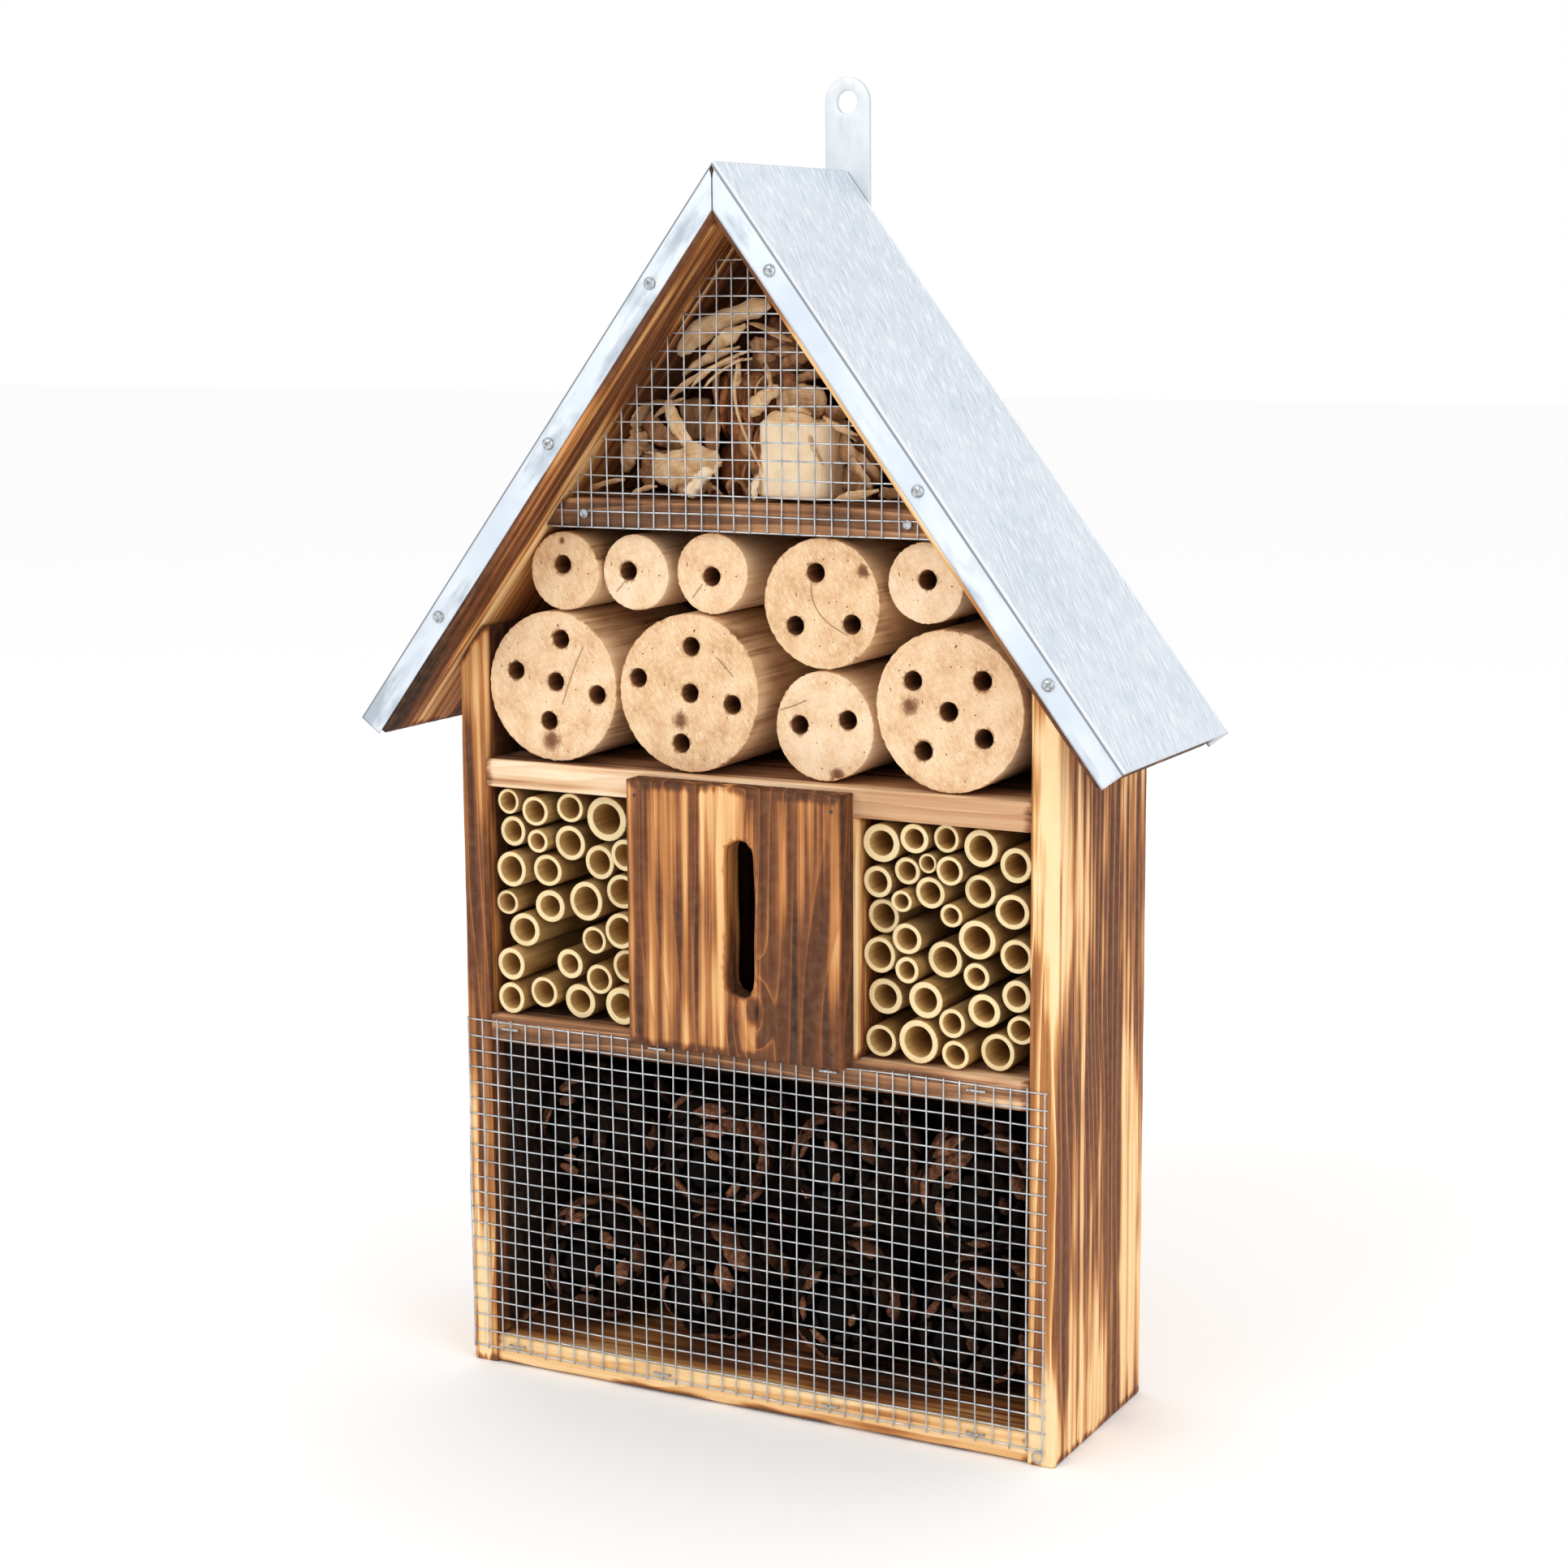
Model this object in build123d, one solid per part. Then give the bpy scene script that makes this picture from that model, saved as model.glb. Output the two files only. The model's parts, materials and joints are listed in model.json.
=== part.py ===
"""Insect hotel: a flamed pine cabinet with a steep galvanised roof, filled with
drilled logs, cut reeds, pine cones and wood chips. Millimetres, +Z up.
X runs along the front, the front faces -Y, and the origin is the middle of the
overall box at the height that the side boards stand on."""

from build123d import *
import os
from math import cos, hypot, radians, sin, tan

# Cabinet
body_width = 240.0
body_depth = 82.0
board = 10.5
back_panel_thickness = 6.0
foot_gap = 0.8  # the bottom board sits this far above the ends of the side boards
cone_chamber_height = 115.0
bay_height = 86.5
log_chamber_height = 87.0
wall_above_shelf = 37.0  # side board above the upper shelf, on its outer face
arris = 0.6

# Butterfly board and the dividers behind it
butterfly_width = 86.0
butterfly_thickness = 10.4
butterfly_lap = 1.5  # laps this far over the lower shelf and stops this far below the upper one's top
slot_width = 12.0
slot_length = 57.0
slot_raise = 1.5  # slot's middle above the board's middle
slot_shift = 3.0  # slot's middle to the right of the board's middle
divider_reveal = 1.2  # divider's outer face beyond the butterfly board's side

# Roof
roof_pitch = 52.8  # degrees from level
roof_board = 11.0
eave_length = 35.6  # along the slope, from the side board's outer face to the sheet's end
front_overhang = 20.0
front_plank = 27.0
eave_drip = 1.5  # sheet beyond the ends of the roof boards
sheet = 0.6
flange = 9.7
mitre_gap = 0.5
relief_radius = 1.1
front_screws_left = (0.19, 0.47, 0.79)  # shares of the slope, from the ridge down
front_screws_right = (0.17, 0.535, 0.847)
rear_screws = (0.3, 0.72)
roof_screw_radius = 1.1
roof_screw_length = 12.0
roof_head_radius = 2.25
roof_head_height = 1.2

# Hanger strap
strap_width = 18.0
strap_thickness = 2.0
strap_length = 100.0
strap_rise = 33.5  # top of the strap above the ridge
hanger_hole_radius = 4.25
hanger_screw_radius = 1.75
hanger_screw_clearance = 0.25
hanger_head_radius = 3.6
hanger_head_height = 2.0
hanger_screw_drops = (14.0, 36.0)  # above the strap's lower end

# Wire mesh, staples and nails
wire = 0.8
column_pitch = 6.35
row_pitch = 6.1
lower_mesh_left_margin = 0.4
lower_mesh_right_margin = 3.8
lower_mesh_drop = 3.0  # top wire below the lower shelf's top
lower_mesh_foot = 6.0  # bottom wire above the side boards' ends
gable_mesh_clearance = 0.6
gable_mesh_top_cut = 12.0  # mesh stops this far below the ridge boards
staple_crown = 7.0
staple_wire = 0.7
staple_leg = 6.0
staple_shares = (0.08, 0.36, 0.66, 0.9)  # of the mesh's width
nail_radius = 0.7
nail_length = 18.0
nail_head_radius = 1.6
nail_head_height = 0.6
nail_inset = 3.6

# Filling
fill_clearance = 0.15
seat_gap = 0.3
hole_radius = 3.5
hole_depth = 50.0
reed_bore = 0.66  # share of the reed's own radius
reed_plug = 9.0  # the knot left at the rear end of each reed

# Heights and faces worked out from the sizes above
inner_width = body_width - 2 * board
slope = radians(roof_pitch)
bottom_top = foot_gap + board
lower_shelf_top = bottom_top + cone_chamber_height + board
upper_shelf_top = lower_shelf_top + bay_height + board
gable_shelf_top = upper_shelf_top + log_chamber_height + board
wall_height = upper_shelf_top + wall_above_shelf
under_ridge = wall_height + body_width / 2 * tan(slope)
board_ridge = under_ridge + roof_board / cos(slope)
ridge = board_ridge + sheet / cos(slope)
slope_length = body_width / 2 / cos(slope) + (roof_board + sheet) * tan(slope) + eave_length
strap_top = ridge + strap_rise
front = (front_overhang + roof_head_height - body_depth - strap_thickness - hanger_head_height) / 2
back = front + body_depth
panel_front = back - back_panel_thickness
divider_outer = butterfly_width / 2 + divider_reveal
butterfly_bottom = lower_shelf_top - butterfly_lap
butterfly_top = upper_shelf_top - butterfly_lap
bay_width = inner_width / 2 - divider_outer


def prism(points, near, far):
    """Extrude an outline of (x, z) points from y = near to y = far."""
    outline = make_face(Polyline(*points, close=True))
    return Pos(0, near, 0) * extrude(Plane.XZ * outline, -(far - near))


def block(x0, x1, y0, y1, z0, z1):
    return Pos((x0 + x1) / 2, (y0 + y1) / 2, (z0 + z1) / 2) * Box(x1 - x0, y1 - y0, z1 - z0)


def rod(x, z, near, far, radius):
    """A round rod along Y."""
    return Pos(x, (near + far) / 2, z) * Rot(90, 0, 0) * Cylinder(radius, far - near)


def eased(solid):
    """Take the sharp arris off every edge of a sawn board."""
    return fillet(solid.edges(), arris)


def slope_point(side, along, depth):
    """(x, z) of a point on one roof slope: along from the ridge, depth under the sheet's outside."""
    x = along * cos(slope) - depth * sin(slope)
    return side * x, ridge - along * sin(slope) - depth * cos(slope)


# Nails and screws: each list is used for the fastener and for its hole

def butterfly_nail_places():
    x = butterfly_width / 2 - nail_inset
    low = lower_shelf_top + nail_inset
    high = upper_shelf_top - board + nail_inset
    return [(s * x, z) for s in (-1, 1) for z in (low, high)]


def butterfly_nail_rods():
    near = front - butterfly_thickness
    return [rod(x, z, near, near + nail_length, nail_radius) for x, z in butterfly_nail_places()]


def back_nail_places():
    tops = (bottom_top, lower_shelf_top, upper_shelf_top)
    places = [(s * inner_width / 3, top - board / 2) for top in tops for s in (-1, 1)]
    gable = gable_shelf_top - board / 2
    return places + [(s * gable_shelf_half(gable_shelf_top) / 2, gable) for s in (-1, 1)]


def back_nail_rods():
    return [rod(x, z, back - nail_length, back, nail_radius) for x, z in back_nail_places()]


def roof_screw_places(face):
    """(x, z) of the screws through the front or the rear flange."""
    pairs = {"front": (front_screws_left, front_screws_right), "rear": (rear_screws, rear_screws)}
    left, right = pairs[face]
    middle = flange / 2
    places = [slope_point(-1, share * slope_length, middle) for share in left]
    return places + [slope_point(1, share * slope_length, middle) for share in right]


def roof_screw_rods(face):
    near, far = front - front_overhang, front - front_overhang + roof_screw_length
    if face == "rear":
        near, far = back - roof_screw_length, back
    return [rod(x, z, near, far, roof_screw_radius) for x, z in roof_screw_places(face)]


def hanger_screw_heights():
    return [strap_top - strap_length + drop for drop in hanger_screw_drops]


def gable_shelf_half(z):
    """Half the width under the roof boards at a height."""
    return (under_ridge - z) / tan(slope)


def lower_mesh_sides():
    """X of the outermost wires on the left and on the right."""
    left = -body_width / 2 + lower_mesh_left_margin + wire / 2
    return left, body_width / 2 - lower_mesh_right_margin - wire / 2


def staple_places():
    """Staples sit astride an upright wire, just inside the top and bottom wires."""
    left, right = lower_mesh_sides()
    columns = max(1, round((right - left) / column_pitch))
    wires = [left + (right - left) * round(share * columns) / columns for share in staple_shares]
    top = lower_shelf_top - lower_mesh_drop - 2 * wire - staple_wire
    low = lower_mesh_foot + 2 * wire
    return [(x, z) for x in wires for z in (low, top)]


def staple(x, z):
    """A wire staple with its crown across the mesh and its two legs in the board."""
    near = front - wire - staple_wire
    reach = staple_crown / 2
    piece = block(x - reach, x + reach, near, near + staple_wire, z, z + staple_wire)
    for end in (x - reach, x + reach - staple_wire):
        piece += block(end, end + staple_wire, near, front + staple_leg, z, z + staple_wire)
    return piece


def pierced(solid, pins):
    """Cut the holes that nails, screws or staple legs make."""
    for pin in pins:
        solid -= pin
    return solid


def touching(solid, pins):
    """The pins that reach into a board's box."""
    box = solid.bounding_box()
    found = []
    for pin in pins:
        other = pin.bounding_box()
        apart = (
            other.min.X > box.max.X or other.max.X < box.min.X
            or other.min.Y > box.max.Y or other.max.Y < box.min.Y
            or other.min.Z > box.max.Z or other.max.Z < box.min.Z
        )
        if not apart:
            found.append(pin)
    return found


# Cabinet boards

def side_board(side):
    """Side board with its top cut to the roof's slope."""
    outer, inner = side * body_width / 2, side * inner_width / 2
    rise = board * tan(slope)
    points = [(outer, 0), (inner, 0), (inner, wall_height + rise), (outer, wall_height)]
    return eased(prism(points, front, back))


def cross_board(top):
    """A shelf between the side boards, up against the back panel."""
    half = inner_width / 2
    return eased(block(-half, half, front, panel_front, top - board, top))


def gable_shelf():
    """The top shelf, whose ends meet the underside of the roof boards."""
    low, high = gable_shelf_top - board, gable_shelf_top
    wide, narrow = gable_shelf_half(low), gable_shelf_half(high)
    points = [(-wide, low), (wide, low), (narrow, high), (-narrow, high)]
    return eased(prism(points, front, panel_front))


def back_panel():
    """Panel between the side boards, pointed under the roof, with holes for the strap's screws."""
    half = inner_width / 2
    eave = under_ridge - half * tan(slope)
    points = [(-half, foot_gap), (half, foot_gap), (half, eave), (0, under_ridge), (-half, eave)]
    panel = eased(prism(points, panel_front, back))
    for z in hanger_screw_heights():
        panel -= rod(0, z, panel_front - 1, back + 1, hanger_screw_radius)
    return panel


def divider(side):
    outer, inner = side * divider_outer, side * (divider_outer - board)
    low, high = sorted((outer, inner))
    return eased(block(low, high, front, panel_front, lower_shelf_top, upper_shelf_top - board))


def butterfly_board():
    """Board in front of the dividers, with an upright slot with round ends."""
    half = butterfly_width / 2
    near = front - butterfly_thickness
    piece = eased(block(-half, half, near, front, butterfly_bottom, butterfly_top))
    middle = (butterfly_bottom + butterfly_top) / 2 + slot_raise
    outline = Pos(slot_shift, middle) * Rot(0, 0, 90) * SlotOverall(slot_length, slot_width)
    cutter = extrude(Plane.XZ * outline, 2 * butterfly_thickness, both=True)
    return piece - Pos(0, near, 0) * cutter


# Roof

def roof_plank(side, near, far):
    """One board of a slope, mitred at the ridge and square at the eave."""
    end = slope_length - eave_drip
    points = [
        (0, under_ridge),
        (0, board_ridge),
        slope_point(side, end, sheet),
        slope_point(side, end, sheet + roof_board),
    ]
    plank = prism(points, near, far)
    long_edges = plank.edges().filter_by(Axis.Y)
    return fillet(long_edges.sort_by(Axis.Z)[:2], arris)


def chevron(near, far, depth):
    """A band of the given depth that follows both slopes under the outside of the sheet."""
    points = [slope_point(-1, slope_length, 0), (0, ridge), slope_point(1, slope_length, 0)]
    points += [slope_point(1, slope_length, depth), (0, ridge - depth / cos(slope))]
    points += [slope_point(-1, slope_length, depth)]
    return prism(points, near, far)


def roof_sheet():
    """One bent sheet: two slopes, with a flange turned down at the front and the rear."""
    near, far = front - front_overhang, back
    piece = chevron(near, far, sheet)
    for start in (near, far - sheet):
        piece += chevron(start, start + sheet, flange)
    low = ridge - flange / cos(slope) - 1
    high = ridge - sheet / cos(slope)
    for start in (near - 1, far - sheet):
        piece -= block(-mitre_gap / 2, mitre_gap / 2, start, start + sheet + 1, low, high)
    for start in (near, far - sheet):
        piece -= rod(0, high, start - 1, start + sheet + 1, relief_radius)
    for face in ("front", "rear"):
        piece = pierced(piece, roof_screw_rods(face))
    return piece


def roof_screws(face):
    """Small round-headed screws with a dimple, through a flange into the roof boards."""
    heads = []
    for x, z in roof_screw_places(face):
        if face == "front":
            outer, inner = front - front_overhang - roof_head_height, front - front_overhang
            tip = front - front_overhang + roof_screw_length
        else:
            outer, inner = back + roof_head_height, back
            tip = back - roof_screw_length
        head = rod(x, z, min(outer, inner), max(outer, inner), roof_head_radius)
        rim = head.edges().filter_by(GeomType.CIRCLE).sort_by(Axis.Y)
        head = fillet(rim[0] if face == "front" else rim[-1], roof_head_height / 2)
        head -= Pos(x, outer, z) * Sphere(roof_head_height / 2)
        heads.append(head + rod(x, z, min(inner, tip), max(inner, tip), roof_screw_radius))
    return Compound(heads)


# Hanger

def hanger_strap():
    """Flat steel strap with a round top, on the rear face, rising behind the ridge."""
    low, middle = strap_top - strap_length, strap_top - strap_width / 2
    strap = block(-strap_width / 2, strap_width / 2, back, back + strap_thickness, low, middle)
    strap += rod(0, middle, back, back + strap_thickness, strap_width / 2)
    strap -= rod(0, middle, back - 1, back + strap_thickness + 1, hanger_hole_radius)
    for z in hanger_screw_heights():
        radius = hanger_screw_radius + hanger_screw_clearance
        strap -= rod(0, z, back - 1, back + strap_thickness + 1, radius)
    return strap


def hanger_screws():
    screws = []
    seat = back + strap_thickness
    for z in hanger_screw_heights():
        head = rod(0, z, seat, seat + hanger_head_height, hanger_head_radius)
        rim = head.edges().filter_by(GeomType.CIRCLE).sort_by(Axis.Y)[-1]
        head = fillet(rim, hanger_head_height / 2)
        depth = hanger_head_height / 2
        for turn in (0, 90):
            cross = Rot(0, turn, 0) * Box(hanger_head_radius, 2 * depth, 0.9)
            head -= Pos(0, seat + hanger_head_height, z) * cross
        screws.append(head + rod(0, z, panel_front, seat, hanger_screw_radius))
    return Compound(screws)


# Mesh

def grid(x0, x1, z0, z1):
    """Welded wire grid with one wire along each edge, its wires as flat strips."""
    columns = max(1, round((x1 - x0) / column_pitch))
    rows = max(1, round((z1 - z0) / row_pitch))
    step_x, step_z = (x1 - x0) / columns, (z1 - z0) / rows
    outline = Rectangle(x1 - x0 + wire, z1 - z0 + wire).wire()
    places = GridLocations(step_x, step_z, columns, rows)
    cells = [(place * Rectangle(step_x - wire, step_z - wire)).wire() for place in places]
    return Pos((x0 + x1) / 2, (z0 + z1) / 2) * Face(outline, cells)


def standing(face):
    """Stand a flat grid up against the front of the cabinet."""
    return Pos(0, front - wire, 0) * extrude(Plane.XZ * face, -wire)


def lower_mesh():
    left, right = lower_mesh_sides()
    return standing(grid(left, right, lower_mesh_foot, lower_shelf_top - lower_mesh_drop))


def wire_curl():
    """The end of one mesh wire, curled into a small eye at the lower right corner."""
    x = body_width / 2 - lower_mesh_right_margin - 2.6 * wire
    eye = Rot(90, 0, 0) * Torus(2.2 * wire, wire / 2)
    return Pos(x, front - 1.5 * wire, lower_mesh_foot - 2.8 * wire) * eye


def gable_mesh():
    """Grid cut to the triangle under the roof boards."""
    low = gable_shelf_top - board + wire / 2
    peak = under_ridge - gable_mesh_clearance / cos(slope)
    half = (peak - low) / tan(slope) - wire
    whole = grid(-half, half, low, peak)
    top = peak - gable_mesh_top_cut
    shoulder = gable_mesh_top_cut / tan(slope)
    wide = half + wire
    corners = [(-wide, low - wire), (-wide, low), (-shoulder, top), (shoulder, top), (wide, low)]
    outline = make_face(Polyline(*corners, (wide, low - wire), close=True))
    cut = whole & outline
    return standing(max(cut.faces(), key=lambda piece: piece.area))


def mesh_nails():
    """Two nails whose heads hold the gable mesh on its shelf."""
    nails = []
    z = gable_shelf_top - board / 2
    for x in mesh_nail_stations():
        seat = front - wire
        nail = rod(x, z, seat - nail_head_height, seat, nail_head_radius)
        nails.append(nail + rod(x, z, seat, front + staple_leg, nail_radius))
    return Compound(nails)


def mesh_nail_stations():
    """Middle of a mesh cell near each end of the gable shelf."""
    low = gable_shelf_top - board + wire / 2
    peak = under_ridge - gable_mesh_clearance / cos(slope)
    half = (peak - low) / tan(slope) - wire
    columns = max(1, round(2 * half / column_pitch))
    x = half - 2.5 * 2 * half / columns
    return [-x, x]


def mesh_nail_rods():
    z = gable_shelf_top - board / 2
    return [rod(x, z, front - 1, front + staple_leg, nail_radius) for x in mesh_nail_stations()]


# Round filling: logs and reeds

def fit_rounds(rounds, walls):
    """Rough (x, z, diameter) places, pushed apart until no two overlap and none is
    through a wall. A wall is (nx, nz, offset), with nx*x + nz*z below the offset inside.
    Where they can't all go in, they are graded down together and tried again."""
    grade = 1.0
    while True:
        places = [[x * grade, z * grade, d * grade / 2] for x, z, d in rounds]
        for step in range(400):
            worst = 0.0
            for i, one in enumerate(places):
                for other in places[:i]:
                    dx, dz = one[0] - other[0], one[1] - other[1]
                    apart = hypot(dx, dz)
                    short = one[2] + other[2] + fill_clearance - apart
                    if short > 0:
                        worst = max(worst, short)
                        push_x, push_z = dx / apart * short / 2, dz / apart * short / 2
                        one[0], one[1] = one[0] + push_x, one[1] + push_z
                        other[0], other[1] = other[0] - push_x, other[1] - push_z
                for nx, nz, offset in walls:
                    over = nx * one[0] + nz * one[1] + one[2] + fill_clearance - offset
                    if over > 0:
                        worst = max(worst, over)
                        one[0], one[1] = one[0] - nx * over, one[1] - nz * over
            if worst < fill_clearance / 3:
                return places
        grade *= 0.98


# Logs: name, (x, z, diameter) from the middle of the upper shelf, and the drilled
# holes as (share of the radius, degrees round from +X)
logs = {
    "log_lower_1": ((-81, 28, 56), ((0.08, 54), (0.64, 78), (0.59, 162), (0.68, -6), (0.46, 262))),
    "log_lower_2": ((-21, 29, 58), ((0.02, 0), (0.58, 86), (0.73, 168), (0.62, -10), (0.64, 260))),
    "log_lower_3": ((29, 20, 39.5), ((0.49, 180), (0.49, 17))),
    "log_lower_4": ((78, 28, 57), ((0, 0), (0.59, 144), (0.59, 42), (0.55, -33), (0.6, 236))),
    "log_upper_1": ((-81, 71, 29.5), ((0.17, 108),)),
    "log_upper_2": ((-48, 71, 28), ((0.21, 170),)),
    "log_upper_3": ((-17.5, 72, 29.5), ((0.07, 265),)),
    "log_upper_4": ((29.5, 63.5, 46.5), ((0.47, 102), (0.57, 218), (0.58, -30))),
    "log_upper_5": ((68.5, 72, 29), ((0.1, 56),)),
}
log_recess = (3.0, 2.0, 5.0, 2.5, 3.5, 5.0, 4.0, 2.5, 4.0)


def log_walls():
    half = inner_width / 2
    eave = under_ridge - upper_shelf_top
    walls = [(-1, 0, half), (1, 0, half), (0, -1, 0), (0, 1, log_chamber_height)]
    return walls + [(side * sin(slope), cos(slope), eave * cos(slope)) for side in (-1, 1)]


def log_nodes():
    """Each log runs from just inside the front to the back panel, with blind holes."""
    places = fit_rounds([rough for rough, holes in logs.values()], log_walls())
    nodes = {}
    for (name, (rough, holes)), (x, z, radius), recess in zip(logs.items(), places, log_recess):
        near = front + recess
        height = upper_shelf_top + z
        piece = rod(x, height, near, panel_front, radius)
        for share, turn in holes:
            hole_x = x + share * radius * cos(radians(turn))
            hole_z = height + share * radius * sin(radians(turn))
            piece -= rod(hole_x, hole_z, near - 1, near + hole_depth, hole_radius)
        nodes[name] = piece
    return nodes


# Reeds: (x, z, diameter) from the bay's lower left corner, from the floor upwards
left_reeds = (
    (8, 6.5, 12.5), (21, 9.5, 12.5), (35.5, 7, 14), (55, 8, 15), (44.5, 16.5, 12), (8, 19, 13),
    (32.5, 21.5, 12), (56, 22.5, 13.5), (44.5, 32, 11), (12, 32, 14), (55, 36, 14), (5.5, 42, 10),
    (23, 42, 13.5), (40.5, 46, 15.5), (55, 50.5, 14), (9, 55.5, 14), (23.5, 56, 13), (45.5, 61, 13.5),
    (56, 64.5, 12.5), (33, 66.5, 14), (20.5, 67, 9.5), (8.5, 69.5, 12), (48, 76.5, 18), (19, 78, 12),
    (33, 80, 12), (8, 81, 10),
)
right_reeds = (
    (36.5, 5, 11), (7, 7, 12.5), (51, 7.5, 14), (22, 8.5, 16.5), (59.5, 16, 11), (35, 17, 11),
    (46.5, 22, 13), (7.5, 22.5, 14), (24, 25, 14), (58, 28, 12), (17.5, 33.5, 10), (43.5, 34, 10.5),
    (30.5, 38, 14), (6.5, 38, 13.5), (58, 42, 13), (17.5, 44.5, 12), (43.5, 46.5, 15), (7.5, 52, 13),
    (34.5, 54.5, 9), (56.5, 57.5, 13.5), (15.5, 58, 8.5), (25.5, 62, 12), (43.5, 63.5, 12.5),
    (6, 64.5, 12), (15, 67.5, 10.5), (34, 71, 11), (23, 71, 7.5), (57, 73.5, 13), (6.5, 78, 15),
    (44.5, 78.5, 14), (20, 80, 11.5), (32, 81, 10.5),
)
reed_rows = 4


def bay_walls():
    return [(-1, 0, 0), (1, 0, bay_width), (0, -1, 0), (0, 1, bay_height)]


def reed(x, z, radius, recess):
    """A cut length of bamboo, open at the front and closed by its knot at the rear."""
    near = front + recess
    stem = rod(x, z, near, panel_front, radius)
    return stem - rod(x, z, near - 1, panel_front - reed_plug, reed_bore * radius)


def reed_nodes(side, rounds):
    """The reeds of one bay in four nodes, one above the other."""
    start = -inner_width / 2 if side == "left" else divider_outer
    places = fit_rounds(rounds, bay_walls())
    rows = [[] for row in range(reed_rows)]
    for count, (x, z, radius) in enumerate(places):
        recess = 2.0 + (count * 7 % 5) * 1.1
        row = count * reed_rows // len(places)
        rows[row].append(reed(start + x, lower_shelf_top + z, radius, recess))
    return {f"{side}_reeds_row_{row + 1}": Compound(reeds) for row, reeds in enumerate(rows)}


# Pine cones: (share across, tier, gap to the mesh, length, diameter, tilt, turn)
cones = (
    (-0.37, 0, 3, 60, 51, 80, 12), (-0.13, 0, 6, 62, 52, 98, -10),
    (0.125, 0, 3, 60, 51, 84, 8), (0.37, 0, 5, 62, 51, 96, -12),
    (-0.36, 1, 7, 60, 52, 86, -14), (-0.12, 1, 3, 62, 51, 100, 10),
    (0.13, 1, 6, 60, 52, 82, -8), (0.365, 1, 3, 61, 51, 97, 14),
)


def pine_cone(length, diameter):
    """The overall form of an open cone, standing on its stalk end at the origin."""
    half = diameter / 2
    line = Polyline((0, length), (0, 0), (0.35 * half, 0))
    line += Spline((0.35 * half, 0), (half, 0.36 * length), (0.55 * half, 0.8 * length), (0, length))
    return revolve(Plane.XZ * make_face(line), Axis.Z)


def cone_nodes():
    """Two tiers of cones, the lower ones on the floor and each upper one on a lower one."""
    nodes = {}
    grade = min(1.0, inner_width / 219, cone_chamber_height / 115, (panel_front - front) / 76)
    tops = []
    for number, (share, tier, gap, length, diameter, tilt, turn) in enumerate(cones, 1):
        cone = Rot(0, 0, turn) * Rot(tilt, 0, 0) * pine_cone(length * grade, diameter * grade)
        box = cone.bounding_box()
        seat = tops.pop(0) if tier else bottom_top
        rise = seat + seat_gap - box.min.Z
        if not tier:
            tops.append(rise + box.max.Z)
        across = share * inner_width - (box.min.X + box.max.X) / 2
        nodes[f"pine_cone_{number}"] = Pos(across, front + gap - box.min.Y, rise) * cone
    return nodes


# Wood pieces in the gable, at sizes for a gable of this height above its shelf
gable_design_height = 97.6


def gable_grade():
    return min(1.0, (under_ridge - gable_shelf_top) / gable_design_height)


def plate(size, angle, x, y, z):
    """A flat upright piece of wood, turned in the plane of the front, its rear face at y."""
    length, height, thickness = size
    grade = gable_grade()
    piece = Rot(0, angle, 0) * Box(length * grade, thickness, height * grade)
    return Pos(x * grade, y - thickness / 2, gable_shelf_top + z * grade) * piece


def standing_on(piece, z):
    """Let a piece down, or lift it, until its lowest point is just clear of a height."""
    return Pos(0, 0, z + seat_gap - piece.bounding_box().min.Z) * piece


def gable_nodes():
    """Bark, a block and curled and flat chips on the gable shelf, and shavings on the bark."""
    grade = gable_grade()
    bark_face = front + 16
    bark = Rot(0, 2, 0) * Box(14 * grade, 18, 60 * grade)
    bark = standing_on(Pos(-13 * grade, bark_face + 9, 0) * bark, gable_shelf_top)
    block = Rot(0, 3, 12) * Box(29 * grade, 24, 30 * grade)
    block = standing_on(Pos(15 * grade, front + 20, 0) * block, gable_shelf_top)
    block_top = block.bounding_box().max.Z
    broad_face = front + 10
    broad = standing_on(plate((27, 17, 2), 10, -33, broad_face, 0), gable_shelf_top)
    curl = Rot(90, 0, 0) * (Cylinder(11 * grade, 20) - Cylinder(11 * grade - 1.2, 22))
    curl -= Rot(0, 25, 0) * Pos(8 * grade, 0, 0) * Box(16 * grade, 22, 7 * grade)
    curl = standing_on(Pos(-42 * grade, front + 28, 0) * curl, gable_shelf_top)
    nodes = {
        "bark_piece": bark,
        "wood_block": block,
        "broad_chip": broad,
        "curled_shaving": curl,
        "right_bark": standing_on(plate((17, 17, 5), -8, 41, front + 24, 0), gable_shelf_top),
        "flat_chip": plate((25, 6, 1.8), 56, -34, broad_face - 2 - seat_gap, 24),
        "tan_chip": standing_on(plate((22, 12, 2.2), -6, 14, front + 20, 0), block_top),
        "long_shaving": plate((40, 5.5, 1.6), -27, -11.5, bark_face - seat_gap, 62),
    }
    fan = [((40, 3, 1.4), -27, -16.5, 54.3), ((38, 3, 1.4), -27, -20.2, 48.1)]
    pieces = [plate(size, turn, x, bark_face - seat_gap, z) for size, turn, x, z in fan]
    return nodes | {"fan_shavings": Compound(pieces)}


def save(shape, name):
    export_step(shape, f"parts/{name}.step")


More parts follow.
